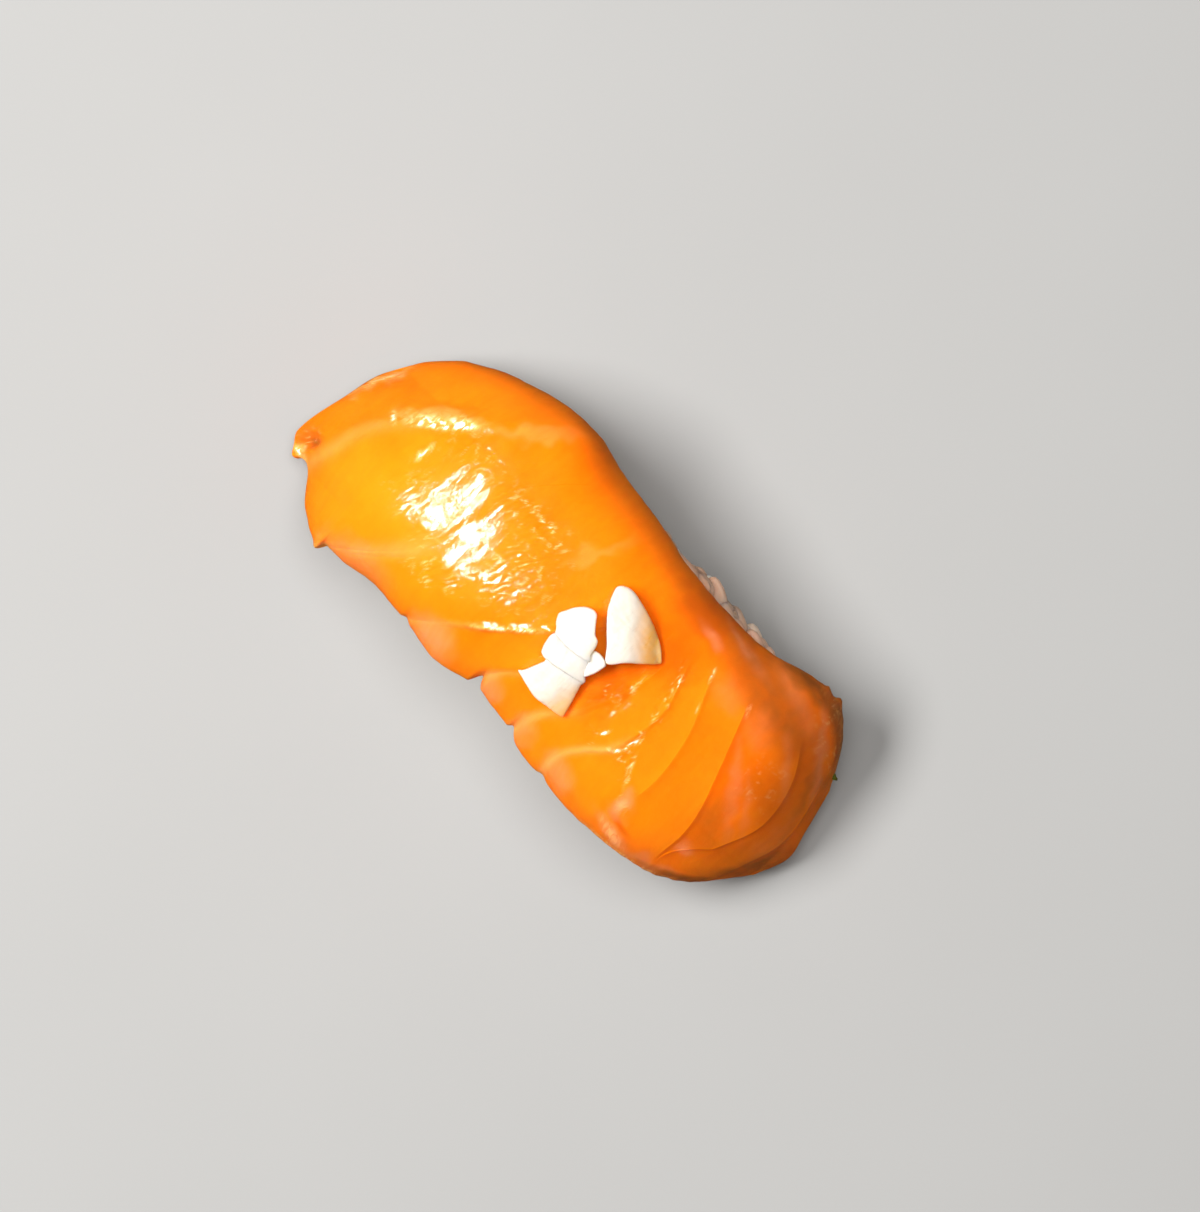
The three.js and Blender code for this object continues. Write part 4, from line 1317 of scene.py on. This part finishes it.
@dataclass
class RiceFinger:
    """The pressed finger of rice: a close core with whole grains all round it."""

    slice_tree: BVHTree
    half_length: float = 29.8
    half_width: float = 11.5
    shift: float = 0.2
    waist: float = 7.5
    top: float = 26
    roundness_down: float = 15
    plan_power: float = 3
    rise_power: float = 2.6
    spine_share: float = 0.75
    core_inset: float = 0.7
    core_top: float = 0.985
    core_sides: int = 240
    core_levels: int = 40
    core_crowding: float = 1.4
    core_tone: float = 0.4
    lumps: tuple[Ripple, ...] = (Ripple(2.4, 2.2, 41, 0.45), Ripple(0.9, 0.9, 42, 0.15))
    girth: float = 150
    girth_steps: int = 1441
    slice_gap: float = 0.25
    grain: Grain = Grain()
    grain_count: int = 560
    grain_top: float = 14.5
    grain_sunk: float = 0.25
    most_above: float = 2.2
    sizes: Pair = (0.84, 1.08)
    tilt: float = 0.22
    depths: Pair = (0, 0.7)
    tones: Pair = (0.1, 0.9)
    # where the rice high on the far side, under the slice, is darker: juice and painted shade
    stain_and_shade_rise: Pair = (2, 9)
    stain_and_shade_side: Pair = (7, 11)
    stain_and_shade_patches: Ripple = Ripple(5, 5, 43, 0.2)
    stain_and_shade_share: float = 0.85
    stain_and_shade_shift: float = 200  # of the patches, along the finger
    seed: int = 20
    core_finish: RiceFinish = RiceFinish(
        "rice_core", (0.7, 0.57, 0.45, 1), (0.8, 0.69, 0.56, 1), roughness=(0.34, 0.52), relief=0.0001
    )
    grain_finish: RiceFinish = RiceFinish("rice_grains")

    def skin(self, angle: Array, z: Array) -> Array:
        """Points on the smooth skin of the finger.

        Args:
            angle: Angles round the finger.
            z: Heights.

        Returns:
            One point for each angle and height.
        """
        reach = np.where(z > self.waist, self.top - self.waist, self.roundness_down)
        share = np.abs((z - self.waist) / reach) ** self.rise_power
        scale = (1 - np.minimum(share, 1)) ** (1 / self.rise_power)
        cos, sin = np.cos(angle), np.sin(angle)
        x = self.half_length * scale * np.sign(cos) * np.abs(cos) ** (2 / self.plan_power)
        y = self.half_width * scale * np.sign(sin) * np.abs(sin) ** (2 / self.plan_power)
        return np.stack([x, self.shift + y, z + 0 * x], -1)

    def even_angles(self, share: Array) -> Array:
        """Angles that lie evenly spaced round the skin.

        Args:
            share: Shares of the way round.

        Returns:
            The angle at each share.
        """
        angle = np.linspace(0, 2 * math.pi, self.girth_steps)
        plan = self.skin(angle, np.full_like(angle, self.waist))[:, :2]
        reached = np.append(0, np.cumsum(np.linalg.norm(np.diff(plan, axis=0), axis=-1)))
        return np.interp(share, reached / reached[-1], angle)

    def ceiling(self, x: float, y: float) -> float:
        """Height of the underside of the slice over a plan point, endless where there is none."""
        hit = self.slice_tree.ray_cast(Vector((x, y, -1)), Vector((0, 0, 1)))[0]
        return math.inf if hit is None else hit.z

    def outward(self, skin: Array) -> Array:
        """Unit vectors at points of the skin, away from the line inside the finger."""
        away = (skin - (0, self.shift, 0)) * (1, 1, 0) - skin * (self.spine_share, 0, 0)
        return away / np.linalg.norm(away, axis=-1, keepdims=True)

    def make_core(self) -> Piece:
        """Build and dress the core that shows between the grains.

        Returns:
            The piece.
        """
        share = np.arange(self.core_sides) / self.core_sides
        rise = (np.arange(self.core_levels) / (self.core_levels - 1)) ** self.core_crowding
        angles, heights = np.meshgrid(self.even_angles(share), self.top * self.core_top * rise)
        points = self.skin(angles, heights)
        around = np.broadcast_to(self.girth * share, angles.shape)
        lumps = sum(lump(around, heights) for lump in self.lumps)
        points += self.outward(points) * (lumps - self.core_inset)[..., None]
        points = points.reshape(-1, 3)
        for point in points:
            point[2] = max(0.0, min(point[2], self.ceiling(*point[:2]) - self.slice_gap))
        ends = [[0, self.shift, 0], [0, self.shift, points[-self.core_sides:, 2].max()]]
        points = np.concatenate([points, ends])
        piece = mesh_object("rice_core", points, *ring_faces(self.core_levels, self.core_sides))
        return self.finished(piece, np.full(len(points), self.core_tone), self.core_finish)

    def place_grain(self, rng: np.random.Generator) -> Array | None:
        """Try one grain at a random place.

        Args:
            rng: Source of the random draw.

        Returns:
            Its points, or nothing where the slice is in its way.
        """
        angle, lift = float(self.even_angles(rng.random())), rng.random()
        size, turn = rng.uniform(*self.sizes), rng.random() * math.pi
        tilt, bend = rng.normal(0, self.tilt), rng.uniform(-1, 1)
        depth = self.grain_sunk + rng.uniform(*self.depths)
        skin = self.skin(np.array(angle), np.array(self.grain_top * lift))
        outward = Vector(self.outward(skin))
        lengthwise = Matrix.Rotation(turn, 3, outward) @ Vector((-outward.y, outward.x, 0))
        lengthwise = (lengthwise + math.sin(tilt) * outward).normalized()
        across = outward.cross(lengthwise).normalized()
        turned = Matrix((lengthwise, across, lengthwise.cross(across))).transposed()
        points = self.grain.points(size, bend) @ np.array(turned).T + skin - depth * np.array(outward)
        above = max(point[2] - self.ceiling(*point[:2]) + self.slice_gap for point in points)
        if above > self.most_above:
            return None
        points[:, 2] = np.maximum(points[:, 2] - max(above, 0), 0)
        return points

    def make_grains(self) -> Piece:
        """Build and dress the grains, all in one mesh.

        Returns:
            The piece.
        """
        rng = np.random.default_rng(self.seed)
        grains, tones = [], []
        while len(grains) < self.grain_count:
            grain = self.place_grain(rng)
            if grain is not None:
                grains.append(grain)
                tones.append(rng.uniform(*self.tones))
        corners = len(grains[0])
        first = corners * np.arange(self.grain_count)[:, None, None]
        piece = mesh_object("rice_grains", np.concatenate(grains), first + self.grain.faces())
        return self.finished(piece, np.repeat(tones, corners), self.grain_finish)

    def make(self) -> list[Piece]:
        """Build and dress the core and the grains."""
        return [self.make_core(), self.make_grains()]

    def finished(self, piece: Piece, tone: Array, finish: RiceFinish) -> Piece:
        """Paint and dress a piece of the rice.

        Args:
            piece: Piece of the rice.
            tone: How bright each corner is, from 0 to 1.
            finish: Its finish.

        Returns:
            The same piece.
        """
        x, y, z = (np.array([vertex.co for vertex in piece.data.vertices]) / MM).T
        patchy = self.stain_and_shade_share + self.stain_and_shade_patches(x + self.stain_and_shade_shift, z)
        # painted shade and juice under the far edge of the slice
        stain = smoothstep(*self.stain_and_shade_rise, z) * patchy * smoothstep(*self.stain_and_shade_side, y)
        paint(piece, Layer.TONE, tone)
        paint(piece, Layer.FILM, stain)
        return dress(piece, finish.material(), "rice")


# ---- Chips of garlic ----


@dataclass(frozen=True)
class Cut:
    """Slanting cut that takes the top of a chip down towards one side.

    Attributes:
        turn: Direction in which it goes down, in degrees.
        start: Distance from the middle of the chip where it starts.
        slope: Fall for each millimetre.
        thin: How orange it gets there, from 0 to 1, from the salmon showing through and from painted bounce
            light.
    """

    turn: float
    start: float
    slope: float
    thin: float = 0

    def past(self, away: Array) -> Array:
        """How far points, seen from the middle of the chip, lie beyond the start of the cut."""
        turn = math.radians(self.turn)
        return away @ np.array([math.cos(turn), math.sin(turn)]) - self.start


@dataclass(frozen=True)
class Chip:
    """One chip of raw garlic.

    Attributes:
        name: Name of its node in the part.
        plan: Corners in plan.
        height: Height at its middle.
        lean: Rise of its top for each millimetre along and across.
        cuts: Slanting cuts of its top.
    """

    name: str
    plan: Rows
    height: float
    lean: Pair
    cuts: tuple[Cut, ...]

    def outline(self, steps: int, roundness: float) -> Array:
        """Round off the plan.

        Args:
            steps: Points for each corner.
            roundness: How far the corners are rounded.

        Returns:
            Closely spaced plan points around it, against the clock.
        """
        here = np.array(self.plan)
        before, after = np.roll(here, 1, 0), np.roll(here, -1, 0)
        if np.sum(here[:, 0] * after[:, 1] - after[:, 0] * here[:, 1]) < 0:
            here = here[::-1]
            before, after = np.roll(here, 1, 0), np.roll(here, -1, 0)
        t = (np.arange(steps) / steps)[None, :, None]
        leave = roundness * (after - before)[:, None]
        arrive = roundness * (np.roll(here, -2, 0) - here)[:, None]
        run = (
            (2 * t**3 - 3 * t**2 + 1) * here[:, None]
            + (t**3 - 2 * t**2 + t) * leave
            + (3 * t**2 - 2 * t**3) * after[:, None]
            + (t**3 - t**2) * arrive
        )
        return run.reshape(-1, 2)


@dataclass
class GarlicChips:
    """The five chips, each with its own cut faces and softly broken edges."""

    drape: Drape
    chips: tuple[Chip, ...] = (
        Chip(
            "garlic_wedge",
            (
                (1.6, 4.6), (2.1, 5.4), (3.3, 5.6), (6, 4.9), (8.4, 3.9), (9.6, 3), (9.9, 2.3), (7.6, 0.2),
                (6.2, -1.3), (4.9, 0.1), (2.6, 2.5),
            ),
            height=2.9,
            lean=(-0.05, -0.2),
            cuts=(Cut(40, -0.3, 0.58, 1), Cut(40, 1.8, 0.5)),
        ),
        Chip(
            "garlic_top_block",
            (
                (-0.7, -1.2), (-0.4, -0.5), (0.1, 0.4), (0.8, 1.1), (1.5, 1.35), (2, 1.2), (2.6, 0.4),
                (3.2, -0.25), (3.8, -0.5), (4.1, -1), (4.35, -1.9), (4.7, -2.6), (2.6, -3), (0.6, -3),
                (0.2, -2.5), (-0.4, -1.9),
            ),
            height=2.7,
            lean=(0.1, 0.05),
            cuts=(Cut(10, 1.6, 0.6, 0.1),),
        ),
        Chip(
            "garlic_middle_block",
            (
                (0.3, -3.25), (0.3, -3.9), (0.55, -4.8), (0.9, -5.3), (1.9, -5.35), (5.7, -4.6), (5.5, -3.9),
                (4.8, -2.75), (2.6, -2.95), (0.65, -2.95),
            ),
            height=2.7,
            lean=(0, 0.2),
            cuts=(Cut(0, 1.6, 0.5, 0.15),),
        ),
        Chip(
            "garlic_end_wedge",
            (
                (1.95, -5.4), (1.65, -6), (1.1, -7.3), (0.75, -8), (0.45, -8.3), (1.1, -8.5), (3.3, -8.95),
                (4.6, -8.85), (6.6, -8.6), (6.75, -8.2), (6.3, -6.6), (5.85, -5.1), (5.65, -4.65),
            ),
            height=2.6,
            lean=(-0.15, 0.25),
            cuts=(Cut(-15, 0.6, 0.5, 0.9),),
        ),
        Chip(
            "garlic_chip",
            (
                (4.6, -1.5), (5.4, -1.4), (6.2, -1.7), (6.1, -2.4), (5.9, -3.2), (5.5, -3.9), (5, -2.95),
                (4.65, -2.3),
            ),
            height=2.2,
            lean=(0, 0.1),
            cuts=(Cut(110, 0.3, 0.3, 0.35),),
        ),
    )
    gap: float = 0.08
    least_height: float = 0.5
    growth: float = 0.14  # how far the sides stand out past the plan
    corner_steps: int = 14
    levels: int = 16
    caps: int = 10
    bevel_start: float = 0.84
    bevel: float = 0.16
    edge_width: float = 0.09
    edge_drop: float = 0.03
    edge_fade: float = 6  # how fast the drop of the edge ends towards the middle
    cut_sharpness: float = 3
    side_bumps: Pair = (0.25, 0.2)  # spacing round a chip and up it
    top_bumps: Pair = (0.9, 0.5)  # spacing along and across
    top_seed: int = 50
    top_shift: float = 40  # of the bumps, so that they differ from those of the sides
    roughness: float = 0.05
    roundness: float = 0.42
    thinning: float = 2.6
    first_seed: int = 60
    finish: GarlicFinish = GarlicFinish()

    def roof(self, chip: Chip, plan: Array, middle: Array) -> Array:
        """Height of the top of a chip.

        Args:
            chip: The chip.
            plan: Plan points.
            middle: Middle of the chip.

        Returns:
            Heights.
        """
        away, sharp = plan - middle, self.cut_sharpness
        height = self.drape.height_at(*middle) + self.gap + chip.height + away @ np.array(chip.lean)
        for cut in chip.cuts:
            height = height - cut.slope * np.logaddexp(0, sharp * cut.past(away)) / sharp
        return np.maximum(height, self.drape.height(*plan.T) + self.gap + self.least_height)

    def make_chip(self, chip: Chip, seed: int, material: Material) -> Piece:
        """Build and dress one chip.

        Args:
            chip: The chip.
            seed: Start of the random draw.
            material: Its material.

        Returns:
            The piece.
        """
        around = chip.outline(self.corner_steps, self.roundness)
        middle = around.mean(0)
        away = around - middle
        radius = np.linalg.norm(away, axis=-1, keepdims=True)
        turn = np.arctan2(away[:, 1], away[:, 0]) + 3 * math.pi
        sides = Ripple(*self.side_bumps, seed, self.roughness)
        tops = Ripple(*self.top_bumps, seed + self.top_seed, self.roughness)
        rings = []
        for level in range(self.levels + self.caps):
            rise = min(1.0, level / (self.levels - 1))
            share = 1 - max(0, level - self.levels + 1) / (self.caps + 1)
            rounded = 1 - math.sqrt(max(0, 1 - max(0, (rise - self.bevel_start) / self.bevel) ** 2))
            rough = sides(turn, np.full_like(turn, rise * 2 + share))
            inset = self.edge_width * rounded - self.growth - rough[:, None]
            plan = middle + away * (share - inset * share / radius)
            seat = self.drape.height(*plan.T) + self.gap
            top = self.roof(chip, plan, middle) + tops(*plan.T + self.top_shift)
            drop = self.edge_drop * max(0, 1 - (1 - share) * self.edge_fade)
            rings.append(np.column_stack([plan, seat + (top - drop - seat) * rise]))
        seat, roof = self.drape.height_at(*middle) + self.gap, self.roof(chip, middle[None], middle)[0]
        points = np.concatenate([*rings, [[*middle, seat], [*middle, roof]]])
        piece = mesh_object(chip.name + "_cut", points, *ring_faces(len(rings), len(around)))
        # orange where cuts leave the chip thin: the salmon showing through, and painted bounce light
        thin = np.zeros(len(points))
        for cut in chip.cuts:
            past = cut.past(points[:, :2] - middle)
            thin = np.maximum(thin, cut.thin * smoothstep(0, self.thinning, past))
        paint(piece, Layer.TONE, thin)
        return dress(piece, material, chip.name)

    def make(self) -> list[Piece]:
        """Build and dress all the chips."""
        material = self.finish.material()
        return [self.make_chip(chip, seed, material) for seed, chip in enumerate(self.chips, self.first_seed)]


# ---- Crumb ----


@dataclass
class HerbCrumb:
    """A crumb of green herb that sticks to the far edge of the slice."""

    drape: Drape
    x: float = 32.1
    y: float = 7.0
    lift: float = 0.2
    size: float = 0.38
    length: float = 1.3
    width: float = 0.8
    thickness: float = 0.5
    jaggedness: float = 0.35
    sides: int = 12
    rings: int = 7
    seed: int = 5
    finish: HerbFinish = HerbFinish()

    def make(self) -> Piece:
        """Build, dress and place the crumb.

        Returns:
            The piece.
        """
        rng = np.random.default_rng(self.seed)
        angle = 2 * math.pi * np.arange(self.sides) / self.sides
        lift = math.pi * (np.arange(self.rings) + 0.5) / self.rings
        jag = 1 + self.jaggedness * rng.uniform(-1, 1, (self.rings, self.sides))
        x = self.size * self.length * np.sin(lift)[:, None] * np.cos(angle) * jag
        y = self.size * self.width * np.sin(lift)[:, None] * np.sin(angle) * jag
        z = -self.size * self.thickness * np.cos(lift)[:, None] * np.ones(self.sides)
        tall = self.size * self.thickness
        form = np.concatenate([np.stack([x, y, z], -1).reshape(-1, 3), [[0, 0, -tall], [0, 0, tall]]])
        place = (self.x, self.y, self.drape.height_at(self.x, self.y) + self.lift)
        piece = mesh_object("herb_crumb", form + place, *ring_faces(self.rings, self.sides))
        return dress(piece, self.finish.material())


# ---- Studio ----


@dataclass(frozen=True)
class Lamp:
    """Soft oval light that faces the food.

    Attributes:
        name: Name of the light.
        azimuth: Direction it hangs in, in degrees from +X.
        elevation: Its height above the horizon, in degrees.
        size: Its width and height.
        power: Its power in watts.
        mirrored: Whether wet surfaces mirror it.
        distance: How far it hangs from the food.
    """

    name: str
    azimuth: float
    elevation: float
    size: Pair
    power: float
    mirrored: bool
    distance: float = 700

    def make(self) -> None:
        """Hang the light."""
        data = bpy.data.lights.new(self.name, "AREA")
        data.shape = "ELLIPSE"
        data.size, data.size_y = self.size[0] * MM, self.size[1] * MM
        data.energy = self.power
        light = bpy.data.objects.new(self.name, data)
        light.visible_glossy = self.mirrored
        bpy.context.scene.collection.objects.link(light)
        a, e = math.radians(self.azimuth), math.radians(self.elevation)
        away = Vector((math.cos(a) * math.cos(e), math.sin(a) * math.cos(e), math.sin(e)))
        light.location = away * self.distance * MM
        light.rotation_mode = "QUATERNION"
        light.rotation_quaternion = away.to_track_quat("Z", "Y")


@dataclass
class Studio:
    """Plain pale floor, soft light and a camera straight above."""

    seen_height: float = 128.7
    scale_height: float = 8
    distance: float = 500
    centre: Pair = (1.58, 2.25)
    turn: float = 45
    sensor: float = 36
    clip: Pair = (0.01, 20)
    lamps: tuple[Lamp, Lamp] = (
        Lamp("key", 211, 57.6, (410, 200), 7.8, True),
        Lamp("fill", 120, 82, (500, 500), 4.2, False),
    )
    sky: Colour = (1, 0.82, 0.66, 1)
    sky_strength: float = 0.05
    floor_reach: float = 4000
    floor_drop: float = 0.1
    floor_finish: FloorFinish = FloorFinish()

    def make_floor(self) -> None:
        """Lay the floor."""
        corners = np.array([(-1, -1, 0), (1, -1, 0), (1, 1, 0), (-1, 1, 0)]) * self.floor_reach
        floor = mesh_object("floor", corners - (0, 0, self.floor_drop), np.array([[0, 1, 2, 3]]))
        floor.data.materials.append(self.floor_finish.material())
        floor.visible_glossy = False

    def make_sky(self) -> None:
        """Fill the surroundings with even light."""
        world = bpy.data.worlds.new("studio")
        world.use_nodes = True
        background = world.node_tree.nodes["Background"]
        background.inputs["Color"].default_value = self.sky
        background.inputs["Strength"].default_value = self.sky_strength
        bpy.context.scene.world = world

    def make_camera(self) -> None:
        """Set the camera straight above the food."""
        data = bpy.data.cameras.new("camera")
        data.sensor_width = self.sensor
        data.lens = self.sensor * self.distance / self.seen_height
        data.clip_start, data.clip_end = self.clip
        camera = bpy.data.objects.new("camera", data)
        bpy.context.scene.collection.objects.link(camera)
        camera.location = Vector((*self.centre, self.scale_height + self.distance)) * MM
        camera.rotation_euler = (0, 0, math.radians(self.turn))
        bpy.context.scene.camera = camera

    def make(self) -> None:
        """Set up the whole studio."""
        self.make_camera()
        self.make_floor()
        self.make_sky()
        for lamp in self.lamps:
            lamp.make()
        view = bpy.context.scene.view_settings
        view.view_transform, view.look = "Standard", "None"
        LOG.info("studio: camera, floor, sky and %d lamps", len(self.lamps))


def tree_of(piece: Piece) -> BVHTree:
    """Search tree of a piece, in millimetres."""
    corners = [tuple(vertex.co / MM) for vertex in piece.data.vertices]
    return BVHTree.FromPolygons(corners, [tuple(face.vertices) for face in piece.data.polygons])


def main() -> None:
    """Build the sub-assemblies in order and report each piece."""
    logging.basicConfig(level=logging.INFO, format="%(name)s: %(message)s")
    Studio().make()
    salmon = SalmonSlice()
    pieces = [salmon.make()]
    pieces += RiceFinger(tree_of(pieces[0])).make()
    pieces += GarlicChips(salmon.drape).make()
    pieces.append(HerbCrumb(salmon.drape).make())
    for piece in pieces:
        LOG.info("%s: %d faces", piece.name, len(piece.data.polygons))


if __name__ == "__main__":
    main()
